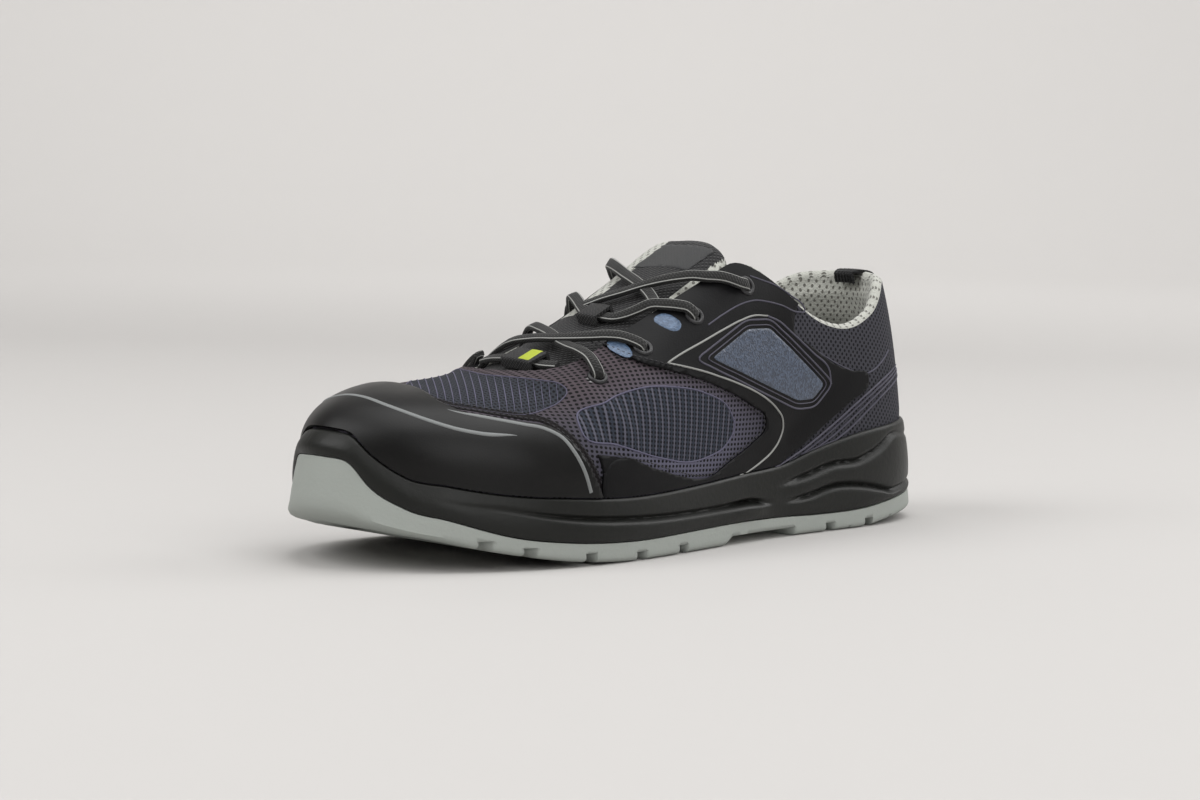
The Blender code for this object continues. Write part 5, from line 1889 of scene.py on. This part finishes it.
# Lines and panels of the upper: station and height in mm, seen from the side
STRIPE_TWO = (
    (0.882, 55.6), (0.869, 53.8), (0.842, 51.9), (0.800, 49.3), (0.771, 47.4), (0.755, 44.6), (0.745, 40.0),
    (0.734, 33.3), (0.725, 26.0),
)
PIPING = (
    (0.430, 24.8), (0.389, 29.1), (0.364, 32.8), (0.348, 37.0), (0.340, 41.4), (0.342, 45.3), (0.354, 49.0),
    (0.375, 53.1), (0.402, 56.6), (0.438, 60.1), (0.483, 63.8), (0.523, 66.5), (0.560, 68.5), (0.560, 68.5),
    (0.537, 71.3), (0.496, 75.6), (0.457, 79.6), (0.421, 82.9), (0.393, 84.6), (0.367, 84.3),
)
PIPING_REST = ((0.367, 84.3), (0.342, 81.8), (0.320, 77.4), (0.281, 69.7), (0.247, 62.3), (0.242, 56.8))
WINDOW_LOOP = (
    (0.719, 50.6), (0.671, 56.6), (0.600, 61.0), (0.562, 60.6), (0.501, 57.5), (0.452, 50.7), (0.440, 44.2),
    (0.462, 36.7), (0.492, 34.1), (0.534, 32.8), (0.590, 35.2), (0.674, 41.8), (0.721, 45.9),
)
REFLECTIVE = ((0.484, 69.8), (0.408, 79.8), (0.363, 79.7), (0.256, 57.0), (0.278, 51.6), (0.312, 51.6))
SMALL_SHAPES = (
    ((0.545, 82.5), (0.523, 85.3), (0.515, 82.5), (0.523, 79.7), (0.532, 79.4)),
    ((0.620, 73.2), (0.606, 76.2), (0.598, 75.0), (0.601, 71.3), (0.612, 70.6)),
)
# Seen from above: distance from the middle in mm, station
VAMP_FIELD = (
    (0, 0.742), (12, 0.731), (23, 0.714), (28.4, 0.706), (31.9, 0.706), (33.2, 0.722), (34.2, 0.750),
    (34, 0.785), (27.2, 0.829), (17.7, 0.863), (5.1, 0.869), (-12, 0.832), (-22, 0.795), (-31, 0.765),
    (-35, 0.740), (-33, 0.718), (-28, 0.712), (-14, 0.732),
)
STRIPE_ONE = (
    (40.9, 0.804), (35.0, 0.854), (29.1, 0.883), (21.2, 0.906), (10.6, 0.922), (-2.0, 0.927), (-8.8, 0.928),
    (-16.0, 0.927), (-25.0, 0.917), (-33.0, 0.893), (-38.0, 0.860), (-41.5, 0.815),
)
EYESTAY_SEAM = ((0.630, 80.0), (0.612, 73.0), (0.575, 69.2), (0.520, 66.5))
TOP_LOOP = (
    (0.385, 99.0), (0.366, 97.4), (0.345, 95.7), (0.313, 91.0), (0.293, 87.4), (0.290, 85.5), (0.307, 85.2),
    (0.335, 87.8), (0.364, 89.5), (0.387, 90.1), (0.404, 89.5), (0.451, 85.0), (0.478, 81.6),
)
FAN_LINES = (
    ((0.354, 26.5), (0.301, 32.3), (0.241, 40.9), (0.180, 50.5), (0.118, 58.6), (0.085, 62.0)),
    ((0.322, 27.5), (0.261, 35.4), (0.211, 43.2), (0.157, 51.3), (0.102, 57.8), (0.070, 60.5)),
    ((0.292, 29.5), (0.231, 37.3), (0.190, 44.0), (0.138, 51.8), (0.084, 57.9), (0.055, 59.8)),
    ((0.260, 31.0), (0.200, 39.1), (0.162, 45.5), (0.119, 51.8), (0.072, 56.4), (0.050, 58.0)),
)
FRONT_PATCH = (
    (0.708, 38.9), (0.708, 38.9), (0.692, 38.2), (0.674, 37.4), (0.660, 36.0), (0.660, 36.0), (0.660, 24.5),
    (0.660, 24.5), (0.692, 24.5), (0.692, 24.5), (0.700, 31.0),
)
COLLAR_PATCH = (
    (0.315, 80.8), (0.320, 78.5), (0.301, 74.5), (0.277, 71.2), (0.241, 66.2), (0.199, 61.7), (0.175, 59.8),
    (0.157, 60.4), (0.131, 63.5), (0.105, 68.2),
)


def rounded(corners: Knots, outset: float, radius: float, span: float) -> list[tuple[float, float]]:
    """Knots of a polygon with round corners, made larger on all sides.

    Args:
        corners: Station and height in mm of each corner of a convex polygon.
        outset: Distance in mm by which its sides move out.
        radius: How far in mm from a corner its rounding begins.
        span: Length in mm of one unit of station.

    Returns:
        Knots for a smooth closed line, as stations and heights in mm.
    """
    flat = np.array([(station * span, height) for station, height in corners])
    centre = flat.mean(0)
    before, after = unit(flat - np.roll(flat, 1, axis=0)), unit(np.roll(flat, -1, axis=0) - flat)
    knots = []
    for k, corner in enumerate(flat):
        normals = [np.array([-way[1], way[0]]) for way in (before[k], after[k])]
        normals = [n if n @ (corner - centre) > 0 else -n for n in normals]
        moved = corner + np.linalg.solve(np.array(normals), np.array([outset, outset]))
        start, end = moved - before[k] * radius, moved + after[k] * radius
        middle = (start + end) / 4 + moved / 2
        knots += [start - before[k] * 0.6 * radius, start, middle, end, end + after[k] * 0.6 * radius]
    return [(float(a / span), float(b)) for a, b in knots]


@dataclass
class Trim:
    """Printed lines, panels and stitches on the upper."""

    upper: Upper
    rib_spacing: float = 0.0027
    rib_way: tuple[float, float] = (0.785, -0.62)
    shortest_rib: int = 6
    stitch_spacing: float = 0.0021
    stitch_radius: float = 0.00028

    def side_panel(
        self, name: str, knots: Knots, low: float, high: float, finish: Material, slot: str = "overlay_film",
    ) -> None:
        """Lay one panel on both sides of the shoe.

        Args:
            name: The panel's name.
            knots: Its outline seen from the side.
            low: Height of its underside.
            high: Height of its face.
            finish: Its finish.
            slot: Its material slot.
        """
        surface = self.upper.surface
        for side in Side:
            outline = smooth_line(surface.side_points(knots, side), closed=True)
            panel = surface.panel(outline, View.SIDE, side, low, high)
            wear(build_object(f"{name}_{side.word}", panel, [finish], 50), slot)

    def side_line(
        self, name: str, knots: Knots, width: float, height: float, base: float, finish: Material,
        closed: bool = False, taper: tuple[float, float] = (1.0, 1.0),
    ) -> None:
        """Lay one line on the sides of the shoe.

        Args:
            name: The line's name.
            knots: Points that it follows, seen from the side.
            width: Its width in mm.
            height: Its height in mm.
            base: Height of its underside in metres.
            finish: Its finish.
            closed: Whether it is a loop.
            taper: Its size at its ends, as a share.
        """
        surface = self.upper.surface
        for side in Side:
            flat = surface.side_points(knots, side)
            line = surface.line(flat, View.SIDE, side, width * MM, height * MM, base, closed, taper)
            wear(build_object(f"{name}_{side.word}", line, [finish], 70), "overlay_film")

    def build(self) -> None:
        """Lay every line, panel and row of stitches."""
        self.stripe()
        self.side_lines()
        self.side_panels()
        self.vamp_ribs()
        self.seams()

    @property
    def film(self) -> float:
        """Height of the film's face over the upper."""
        return self.upper.fit + self.upper.film_thickness

    @property
    def cap(self) -> float:
        """Height over the upper at which the cap's lines begin, just inside its face."""
        return self.upper.fit + self.upper.cap_thickness - 0.15 * MM

    def stripe(self) -> None:
        """Stripe across the cap, laid from above."""
        surface, grey = self.upper.surface, self.upper.finishes.grey_trim
        stripe = surface.line(
            surface.top_points(STRIPE_ONE), View.TOP, Side.LATERAL, 1.7 * MM, 0.45 * MM, self.cap,
            taper=(0.2, 0.2),
        )
        wear(build_object("cap_stripe_one", stripe, [grey], 70), "toe_cap_film")

    def side_lines(self) -> None:
        """Lines of both sides: name, knots, width and height in mm, base, finish, loop, taper."""
        finishes, cap, film = self.upper.finishes, self.cap, self.film
        lilac = finishes.lilac_trim
        edges = [
            (f"reflective_{name}_edge", self.window(outset), width, 0.3, film, lilac, True)
            for name, outset, width in (("inner", 1.3, 0.45), ("outer", 3.3, 0.75))
        ]
        fans = [
            (f"heel_fan_{k}", knots, 0.7, 0.35, 0.2 * MM if k else film, lilac, False, (0.6, 0.5))
            for k, knots in enumerate(FAN_LINES)
        ]
        for line in (
            ("cap_stripe_two", STRIPE_TWO, 1.7, 0.45, cap, finishes.grey_trim, False, (0.2, 1.0)),
            ("white_piping", PIPING, 0.75, 0.4, film, finishes.white_trim, False, (0.5, 0.8)),
            ("lilac_piping", PIPING_REST, 0.8, 0.3, film, lilac),
            ("window_loop", WINDOW_LOOP, 0.6, 0.25, 0.1 * MM, finishes.loop_trim, True),
            *edges,
            ("top_loop", TOP_LOOP, 0.6, 0.25, film, lilac),
            *fans,
            ("collar_line", COLLAR_PATCH, 0.6, 0.3, 0.2 * MM, lilac),
        ):
            self.side_line(*line)

    def side_panels(self) -> None:
        """Panels of both sides: name, knots, underside, face, finish, slot."""
        finishes, film = self.upper.finishes, self.film
        low, high = film - 0.2 * MM, film + 0.2 * MM
        for panel in (
            ("window_ribs", WINDOW_LOOP, -0.3 * MM, 0.12 * MM, finishes.rib_mesh, "upper_mesh"),
            ("reflective_window", self.window(0.0), low, high, finishes.reflective),
            *((f"blue_shape_{k}", knots, low, high, finishes.blue) for k, knots in enumerate(SMALL_SHAPES)),
            ("front_film", FRONT_PATCH, 0.0, film - 0.1 * MM, finishes.film),
        ):
            self.side_panel(*panel)

    def window(self, outset: float) -> Knots:
        """Outline of the reflective window, made larger by some mm."""
        return rounded(REFLECTIVE, outset, 2.2 + outset / 2, self.upper.form.length / MM)

    def vamp_ribs(self) -> None:
        """Slanted raised threads of the vamp, inside an outlined field."""
        surface, finishes = self.upper.surface, self.upper.finishes
        field_edge = smooth_line(surface.top_points(VAMP_FIELD), closed=True)
        ground = surface.panel(field_edge, View.TOP, Side.LATERAL, -0.3 * MM, 0.08 * MM)
        wear(build_object("vamp_field", ground, [finishes.vamp_mesh], 50), "upper_mesh")
        way = unit(np.array(self.rib_way))
        aside = np.array([way[1], -way[0]])
        reach = np.abs(field_edge @ aside).max()
        threads = []
        for offset in np.arange(-reach, reach, self.rib_spacing):
            run = aside * offset + np.linspace(-0.09, 0.09, 181)[:, None] * way
            run = run + field_edge.mean(0) * [0.0, 1.0]
            run = run[inside(run, field_edge)]
            if len(run) >= self.shortest_rib:
                path, normals = surface.lay(run, View.TOP, Side.LATERAL)
                path = path + normals * 0.05 * MM
                threads.append(ribbon(path, normals, 0.42 * MM, 0.3 * MM, taper=(0.4, 0.4)))
        wear(build_object("vamp_rib_threads", merged(threads), [finishes.loop_trim], 70), "upper_mesh")
        path, normals = surface.lay(resample(field_edge, 1.2 * MM), View.TOP, Side.LATERAL)
        edge = ribbon(path + normals * 0.05 * MM, normals, 0.35 * MM, 0.25 * MM, True)
        wear(build_object("vamp_field_edge", edge, [finishes.loop_trim], 70), "upper_mesh")

    @staticmethod
    def beside(edge: Array, distances: Sequence[float]) -> list[Array]:
        """Lines beside a flat edge, at distances in mm from it."""
        ahead = unit(np.gradient(edge, axis=0))
        aside = np.stack([ahead[:, 1], -ahead[:, 0]], 1)
        return [edge + aside * distance * MM for distance in distances]

    def seams(self) -> None:
        """Rows of stitches: behind the cap, around the mesh window and along the eyestay."""
        surface, upper, finishes = self.upper.surface, self.upper, self.upper.finishes
        on_film = self.film + 0.05 * MM
        rows: dict[str, list[tuple[Array, float]]] = {"cap_seam": [], "window_seam": [], "eyestay_seam": []}
        for side in Side:
            edge = smooth_line(upper.outline(side, CAP_EDGE[1:-1]), fine=8)
            inner, outer, middle = self.beside(edge, (1.1, 2.6, 1.7))
            for line in (inner, outer):
                rows["cap_seam"].append((surface.lay(line, View.SIDE, side), 0.3 * MM))
            path, normals = surface.lay(resample(middle, 1.1 * MM), View.SIDE, side)
            band = ribbon(path, normals, 3.4 * MM, 0.3 * MM)
            band = build_object(f"cap_seam_band_{side.word}", band, [finishes.band], 70)
            wear(band, "overlay_film")
            edge = smooth_line(upper.outline(side, FILM_EDGE[5:18]), fine=8)
            rows["window_seam"].append((surface.lay(self.beside(edge, [1.3])[0], View.SIDE, side), on_film))
            edge = smooth_line(surface.side_points(EYESTAY_SEAM, side), fine=8)
            rows["eyestay_seam"].append((surface.lay(edge, View.SIDE, side), on_film))
        for name, lines in rows.items():
            paths = [points + normals * lift for (points, normals), lift in lines]
            row = upper.stitches.sew(name, paths, self.stitch_spacing, self.stitch_radius, finishes.stitch)
            wear(row, "overlay_film")


# Tongue, laces and webbing

# Seen from above: distance from the middle in mm, station; a corner is given twice
LABEL = [c for c in ((-13, 0.456), (15, 0.450), (16, 0.402), (-11, 0.404)) for _ in range(2)]
TAG_BLOCK = [c for c in ((3.0, 0.6965), (8.6, 0.6965), (8.6, 0.6720), (3.0, 0.6720)) for _ in range(2)]

# Lift over the closed upper, as a share of the lace's thickness, at which the keeper holds the lace
KEEPER_LIFT = -0.60

# Each run of lace: station, share of the way to an eyelet row on either side, lift
LACE_RUNS = {
    "lace_row_one": [
        [(0.676, 0.66, -0.60), (0.684, 0.52, -0.62), (0.684, 0.25, -0.62), (0.684, 0.0, -0.62),
         (0.683, -0.35, -0.62), (0.676, -0.58, -0.60)],
    ],
    "lace_cross_front": [
        [(0.577, 1.00, 1.25), (0.590, 0.87, 1.20), (0.608, 0.70, 1.15), (0.618, 0.60, 0.95),
         (0.630, 0.45, 0.80), (0.641, 0.25, 0.75), (0.648, 0.00, 0.75), (0.656, -0.22, 0.75),
         (0.661, -0.45, 0.80), (0.661, -0.72, 1.00), (0.655, -1.00, 1.25)],
        [(0.655, 1.00, 1.25), (0.653, 0.92, 1.20), (0.649, 0.80, 1.15), (0.648, 0.68, 0.95),
         (0.646, 0.50, 0.45), (0.640, 0.30, 0.15), (0.629, 0.09, 0.05), (0.617, -0.19, 0.05),
         (0.606, -0.45, 0.35), (0.594, -0.72, 1.10), (0.585, -0.87, 1.25), (0.577, -1.00, 1.35)],
    ],
    "lace_cross_top": [
        [(0.488, 1.00, 1.25), (0.495, 0.94, 1.25), (0.506, 0.87, 1.20), (0.519, 0.79, 1.20),
         (0.530, 0.71, 1.10), (0.543, 0.62, 0.20), (0.556, 0.52, -0.45), (0.565, 0.43, KEEPER_LIFT),
         (0.568, 0.33, KEEPER_LIFT), (0.569, 0.18, KEEPER_LIFT), (0.568, 0.05, KEEPER_LIFT),
         (0.560, -0.10, -0.42), (0.546, -0.33, -0.10), (0.530, -0.58, 0.45), (0.510, -0.80, 1.15),
         (0.499, -0.90, 1.25), (0.488, -1.00, 1.35)],
        [(0.392, 1.00, 1.25), (0.407, 0.97, 1.25), (0.430, 0.88, 1.20), (0.450, 0.80, 1.20),
         (0.461, 0.73, 1.15), (0.475, 0.63, 0.85), (0.490, 0.50, 0.55), (0.505, 0.36, 0.35),
         (0.524, 0.18, 0.10), (0.539, 0.00, -0.05), (0.552, -0.15, -0.30)],
        [(0.392, -1.00, 1.35), (0.412, -0.97, 1.25), (0.436, -0.86, 1.15), (0.456, -0.70, 0.70),
         (0.472, -0.46, 0.35), (0.486, -0.13, 0.05), (0.499, 0.20, -0.10), (0.510, 0.48, -0.15),
         (0.518, 0.64, 0.10), (0.524, 0.71, 0.60)],
    ],
}


@dataclass
class Lacing:
    """Tongue, laces, keeper, tag and pull tab."""

    form: ShoeForm
    surface: Surface
    finishes: Finishes
    stitches: StitchRow
    lace_width: float = 0.0048
    lace_thickness: float = 0.0022
    braid_round: float = 0.014
    tongue_thickness: float = 0.0055
    tongue_front: float = 0.755
    tongue_top: float = 0.385
    tongue_corner: float = 0.016
    tongue_overlap: float = 0.006
    tongue_side: float = 0.90
    tongue_gap: float = 0.0007
    tongue_dip: float = 0.0014
    tongue_sink: float = 0.0012
    tongue_edge: float = 0.0012
    tongue_lip: float = 0.0008
    face_half: tuple[float, float] = (0.0190, 0.0115)
    face_end: float = 0.56
    webbing: float = 0.0012
    bridge_play: float = 0.0009
    tab_width: float = 0.018
    tab_leg: float = 0.012
    tab_inner_leg: float = 0.0035
    fit: float = 0.0003

    def tongue(self) -> Object:
        """Padded tongue with rounded top corners."""
        ribs, columns = 90, 34
        stations = np.linspace(self.tongue_top, self.tongue_front, ribs)
        grids, maps = [], []
        for side in Side:
            grid, cloth = [], []
            for station in stations:
                rib = self.surface.rib_at(side, float(station))
                half = min(self.form.throat_half_top + self.tongue_overlap, self.tongue_side * rib.radius)
                corner = 1 - min(1.0, (station - self.tongue_top) * self.form.length / self.tongue_corner)
                half -= self.tongue_corner * (1 - math.sqrt(1 - corner**2))
                reach = np.linspace(half, 0.0, columns)
                grid.append(rib.points(reach, rib.height_at(reach)))
                run = np.full(columns, -self.form.along(float(station)))
                cloth.append(np.stack([reach * side.sign, run], 1))
            grids.append(np.array(grid))
            maps.append(np.array(cloth))
        skin = Skin(grids, (True, False), maps)
        drop = np.zeros(len(skin.points))
        edge = np.zeros(len(skin.points))
        for k, index in enumerate(skin.place):
            sideways = 1 - (k % columns) / (columns - 1)
            forward = (k // columns % ribs) / (ribs - 1)
            drop[index] = self.form.wall + self.tongue_gap + self.tongue_dip * sideways**2
            drop[index] += self.tongue_sink * forward**4
            edge_share = max(smooth_step((sideways - 0.86) / 0.14), smooth_step((0.03 - forward) / 0.03))
            edge[index] = self.tongue_edge * edge_share
        inner = edge - drop - self.tongue_thickness
        wall = skin.wall(inner, -drop - edge, lambda points: np.full(len(points), self.tongue_lip))
        last = self.form.along(self.face_end)
        for k, face in enumerate(wall.faces):
            x, y, _ = wall.points[list(face)].mean(0)
            side = Side.of(x)
            border = abs(x) > self.face_half[side.value] and y > last
            wall.finish[k] = 1 if border or wall.finish[k] in (Layer.INSIDE, Layer.INNER_LIP) else 0
        tongue = build_object("tongue_pad", wall, [self.finishes.tongue, self.finishes.lining], 60)
        wear(tongue, "tongue_cloth", "tongue")
        return tongue

    def lace_point(self, station: float, turn: float, lift: float) -> tuple[Array, Array]:
        """Point and normal over the closed upper, at a share of the way to an eyelet row."""
        side = Side.of(turn)
        stations, heights = [e[0] for e in EYELETS[::-1]], [e[1] for e in EYELETS[::-1]]
        rib = self.surface.rib_at(side, station)
        share = float(np.interp(station, stations, heights))
        reach = abs(turn) * float(rib.radius_at(outline_height(side, station, share)))
        point, normal = self.surface.point(side, station, max(reach, 1e-4))
        return point + normal * lift * self.lace_thickness, normal

    def lace_path(self, places: Sequence[tuple[float, float, float]]) -> tuple[Array, Array]:
        """Dense path of a lace through its places, its ends turned down into the eyelets."""
        knots = [self.lace_point(*place) for place in places]
        points, normals = [k[0] for k in knots], [k[1] for k in knots]
        for end, step in ((0, 1), (len(places) - 1, -1)):
            station, turn, _ = places[end]
            if abs(abs(turn) - 1.0) < 1e-6:
                base, normal = self.lace_point(station, turn, 0.0)
                away = unit(points[end] - points[end + step])
                points[end] = base + normal * 1.0 * MM + away * 0.3 * MM
                extra = [base - normal * 1.5 * MM, base - normal * 4.0 * MM]
                if end == 0:
                    points = extra[::-1] + points
                    normals = [normal, normal] + normals
                else:
                    points = points + extra
                    normals = normals + [normal, normal]
        path = smooth_line(points, fine=10)
        share = np.linspace(0, len(normals) - 1, len(path))
        return path, unit(between(share, np.arange(len(normals)), np.array(normals)))

    def laces(self) -> None:
        """Flat braid with two pale threads along each edge."""
        half = [
            (-0.5, 0.0), (-0.475, 0.24), (-0.43, 0.37), (-0.36, 0.46), (0.0, 0.5), (0.36, 0.46), (0.43, 0.37),
            (0.475, 0.24),
        ]
        section = np.array(half + [(-a, -b) for a, b in half])
        pale = {2, 5, 10, 13}
        dress = [self.finishes.lace, self.finishes.white_trim]
        for name, runs in LACE_RUNS.items():
            tubes = []
            for places in runs:
                path, up = self.lace_path(places)
                path = resample(path, 0.9 * MM)
                up = unit(between(np.linspace(0, 1, len(path)), np.linspace(0, 1, len(up)), up))
                tube = sweep(path, up, section * (self.lace_width, self.lace_thickness))
                tube.corners = [tuple((u * self.braid_round, v) for u, v in ring) for ring in tube.corners]
                size, side_faces = len(section), len(section) * (len(path) - 1)
                tube.finish = [int(k % size in pale and k < side_faces) for k in range(len(tube.faces))]
                tubes.append(tube)
            wear(build_object(f"{name}_braid", merged(tubes), dress, 60), "lace_cord", name)

    def bridge(self, name: str, node: str, place: tuple[float, float, float], width: float) -> Object:
        """Webbing arch over the lace on the tongue.

        Args:
            name: The piece's name.
            node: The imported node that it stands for.
            place: Station, distance from the ridge, lift of the lace.
            width: Its width across the foot.

        Returns:
            The webbing.
        """
        station, middle, lift = place
        roof = (lift + 0.5) * self.lace_thickness + self.fit
        foot = -self.form.wall - self.tongue_gap + self.fit
        half = self.lace_width / 2 + self.webbing + self.bridge_play
        thick = self.webbing
        turn = np.linspace(0, math.pi / 2, 5)
        outer = [(-half + thick * (1 - math.cos(t)), roof + thick * math.sin(t)) for t in turn]
        inner = half - thick
        section = [(-half, foot), *outer, *[(-a, b) for a, b in outer[::-1]], (half, foot)]
        section += [(inner, foot), (inner, roof), (-inner, roof), (-inner, foot)]
        columns, size = 16, len(section)
        points = []
        for k in range(columns):
            offset = middle + (k / (columns - 1) - 0.5) * width
            side, reach = Side.of(offset), max(abs(offset), 1e-4)
            for shift, height in section:
                point, normal = self.surface.point(side, station + shift / self.form.length, reach)
                points.append(point + normal * height)
        faces, corners = tube_faces(columns, size), []
        run = np.cumsum([0.0] + [math.dist(a, b) for a, b in zip(section, section[1:] + section[:1])])
        for k in range(columns - 1):
            a, b = k * width / (columns - 1), (k + 1) * width / (columns - 1)
            corners += [((run[i], a), (run[i + 1], a), (run[i + 1], b), (run[i], b)) for i in range(size)]
        corners += [tuple((run[i % size], 0.0) for i in ring) for ring in faces[-2:]]
        piece = build_object(name, Mesh(np.array(points), faces, corners), [self.finishes.webbing], 50)
        return wear(piece, "keeper_webbing", node)

    def label(self) -> None:
        """Bare woven label on the tongue, and a plain lime block on the tag's webbing."""
        for name, knots, low, high, finish, slot in (
            ("tongue_label", LABEL, -3.4, -2.7, self.finishes.label, "tongue_cloth"),
            ("tag_block", TAG_BLOCK, 1.0, 1.42, self.finishes.lime, "keeper_webbing"),
        ):
            outline = smooth_line(self.surface.top_points(knots), closed=True)
            panel = self.surface.panel(outline, View.TOP, Side.LATERAL, low * MM, high * MM)
            wear(build_object(name, panel, [finish], 60), slot)

    def pull_tab(self) -> Object:
        """Folded ribbed webbing over the top of the heel."""
        run = np.linalg.norm(np.diff(self.form.outline[0][1], axis=0), axis=1).sum()
        reach = self.tab_width / 2 / run
        wall, gap = self.form.wall + self.form.collar_padding, self.fit * 2
        sections: list[list[Array]] = []
        for step in np.linspace(-1, 1, 25):
            side = Side.of(step)
            rib = self.form.rib(side, abs(step) * reach)
            top = self.form.top(rib)
            web = self.webbing * (1 + 0.25 * math.cos(step * 6 * math.pi))
            heights = np.linspace(top - self.tab_leg, top, 6)
            short = np.linspace(top - self.tab_inner_leg, top, 4)
            outer = [(float(rib.radius_at(z)) + gap + web, z) for z in heights]
            inner = [(float(rib.radius_at(z)) - wall - gap - web, z) for z in short[::-1]]
            turn = np.linspace(0.15, math.pi - 0.15, 7)
            middle, half = (outer[-1][0] + inner[0][0]) / 2, (outer[-1][0] - inner[0][0]) / 2
            arch = [(middle + half * math.cos(t), top + (gap + web) * math.sin(t)) for t in turn]
            back = [(float(rib.radius_at(z)) - wall - gap, z) for z in short]
            under = [(a, top + gap * 0.9) for a in (back[-1][0], float(rib.radius_at(top)) + gap)]
            front = [(float(rib.radius_at(z)) + gap, z) for z in heights[::-1]]
            section = outer + arch + inner + back + under + front
            sections.append([rib.points(a, b) for a, b in section])
        points = np.concatenate(sections)
        faces = tube_faces(len(sections), len(sections[0]))
        corners = [tuple((float(points[k][0]), float(points[k][2])) for k in face) for face in faces]
        tab = build_object("heel_pull_tab", Mesh(points, faces, corners), [self.finishes.webbing], 60)
        return wear(tab, "pull_tab_webbing", "pull_tab")


# Studio


@dataclass
class Studio:
    """Pale floor, soft lights and a camera at the photograph's angle."""

    azimuth: float = 45.12
    elevation: float = 4.85
    roll: float = 1.21
    distance: float = 1.2
    focal_pixels: float = 3173.6
    centre: tuple[float, float] = (624.55, 391.0)
    frame_size: tuple[int, int] = (1200, 800)
    target: tuple[float, float, float] = (-0.0011, 0.0, 0.055)

    def camera(self) -> None:
        """Camera fitted to the photograph."""
        turn, lift = math.radians(self.azimuth), math.radians(self.elevation)
        back = Vector((math.sin(turn) * math.cos(lift), -math.cos(turn) * math.cos(lift), math.sin(lift)))
        data = bpy.data.cameras.new("camera")
        data.sensor_width = 36.0
        data.lens = 36.0 * self.focal_pixels / self.frame_size[0]
        width, height = self.frame_size
        data.shift_x = (width / 2 - self.centre[0]) / width
        data.shift_y = (self.centre[1] - height / 2) / width
        data.clip_start = 0.01
        data.clip_end = 50.0
        camera = bpy.data.objects.new("camera", data)
        bpy.context.scene.collection.objects.link(camera)
        turned = back.to_track_quat("Z", "Y").to_matrix() @ Matrix.Rotation(math.radians(self.roll), 3, "Z")
        camera.matrix_world = Matrix.Translation(Vector(self.target) + back * self.distance) @ turned.to_4x4()
        bpy.context.scene.camera = camera

    def lights(self) -> None:
        """Large soft lamps, the backdrop's own lamp aimed past the shoe, and a pale surround."""
        shoe, wall = (0.0, 0.0, 0.05), (-2.2, 2.2, 1.5)
        lamps = (
            ("key", (-0.6, -1.6, 1.6), 1.6, 29.0, shoe),
            ("fill", (1.8, -0.4, 1.0), 1.4, 13.0, shoe),
            ("top", (0.2, 0.3, 2.2), 2.0, 33.0, shoe),
            ("rear", (0.6, 1.8, 1.2), 1.2, 14.0, shoe),
            ("backdrop", (-1.2, 1.2, 2.0), 1.8, 42.0, wall),
        )
        for name, place, size, power, aim in lamps:
            data = bpy.data.lights.new(name, "AREA")
            data.shape = "SQUARE"
            data.size = size
            data.energy = power
            lamp = bpy.data.objects.new(name, data)
            bpy.context.scene.collection.objects.link(lamp)
            lamp.location = place
            lamp.rotation_euler = (Vector(place) - Vector(aim)).to_track_quat("Z", "Y").to_euler()
        world = bpy.data.worlds.new("surround")
        bpy.context.scene.world = world
        world.use_nodes = True
        background = world.node_tree.nodes["Background"]
        background.inputs["Color"].default_value = linear("#dcdad8")
        background.inputs["Strength"].default_value = 0.55

    @staticmethod
    def tones() -> None:
        """Show colours as they are, because the default transform makes the blacks pale."""
        bpy.context.scene.view_settings.view_transform = "Standard"

    def floor(self) -> None:
        """Seamless pale sweep: floor far in front, wall behind all round."""
        sides, flat, bend, top = 96, 2.2, 1.3, 3.2
        turns = np.linspace(0, 2 * math.pi, sides + 1)[:-1]
        rings = [(0.6, 0.0), (flat, 0.0)]
        rings += [
            (flat + bend * math.sin(t), bend * (1 - math.cos(t))) for t in np.linspace(0.15, math.pi / 2, 9)
        ]
        rings += [(flat + bend, top)]
        points = [(0.0, 0.0, 0.0)]
        for radius, height in rings:
            points += [(radius * math.cos(t), radius * math.sin(t), height) for t in turns]
        faces = [(0, 1 + k, 1 + (k + 1) % sides) for k in range(sides)]
        for ring in range(len(rings) - 1):
            a, b = 1 + ring * sides, 1 + (ring + 1) * sides
            faces += [(a + k, b + k, b + (k + 1) % sides, a + (k + 1) % sides) for k in range(sides)]
        paper = Grained("matt_studio_paper", "#bcbab8", 0.95, grain=0.01, depth=0.0, mottle=0.01).material()
        sweep_floor = build_object("studio_floor", Mesh(np.array(points), faces), [paper])


def main() -> None:
    """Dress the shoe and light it."""
    logging.basicConfig(level=logging.INFO, format="%(message)s")
    studio = Studio()
    studio.camera()
    finishes = Finishes()
    surface = Surface(FORM)
    stitches = StitchRow()
    sole = Sole(FORM, finishes)
    sole.outsole()
    sole.midsole()
    sole.insole()
    upper = Upper(FORM, surface, finishes, stitches)
    upper.shell()
    upper.toe_cap()
    upper.films()
    upper.eyelet_rings()
    Trim(upper).build()
    lacing = Lacing(FORM, surface, finishes, stitches)
    lacing.tongue()
    lacing.laces()
    lacing.bridge("lace_keeper_webbing", "lace_keeper", (0.568, 0.0065, KEEPER_LIFT), 0.010)
    lacing.bridge("throat_tag_webbing", "throat_tag", (0.684, 0.0075, -0.62), 0.016)
    lacing.pull_tab()
    lacing.label()
    studio.lights()
    studio.tones()
    studio.floor()


if __name__ == "__main__":
    main()
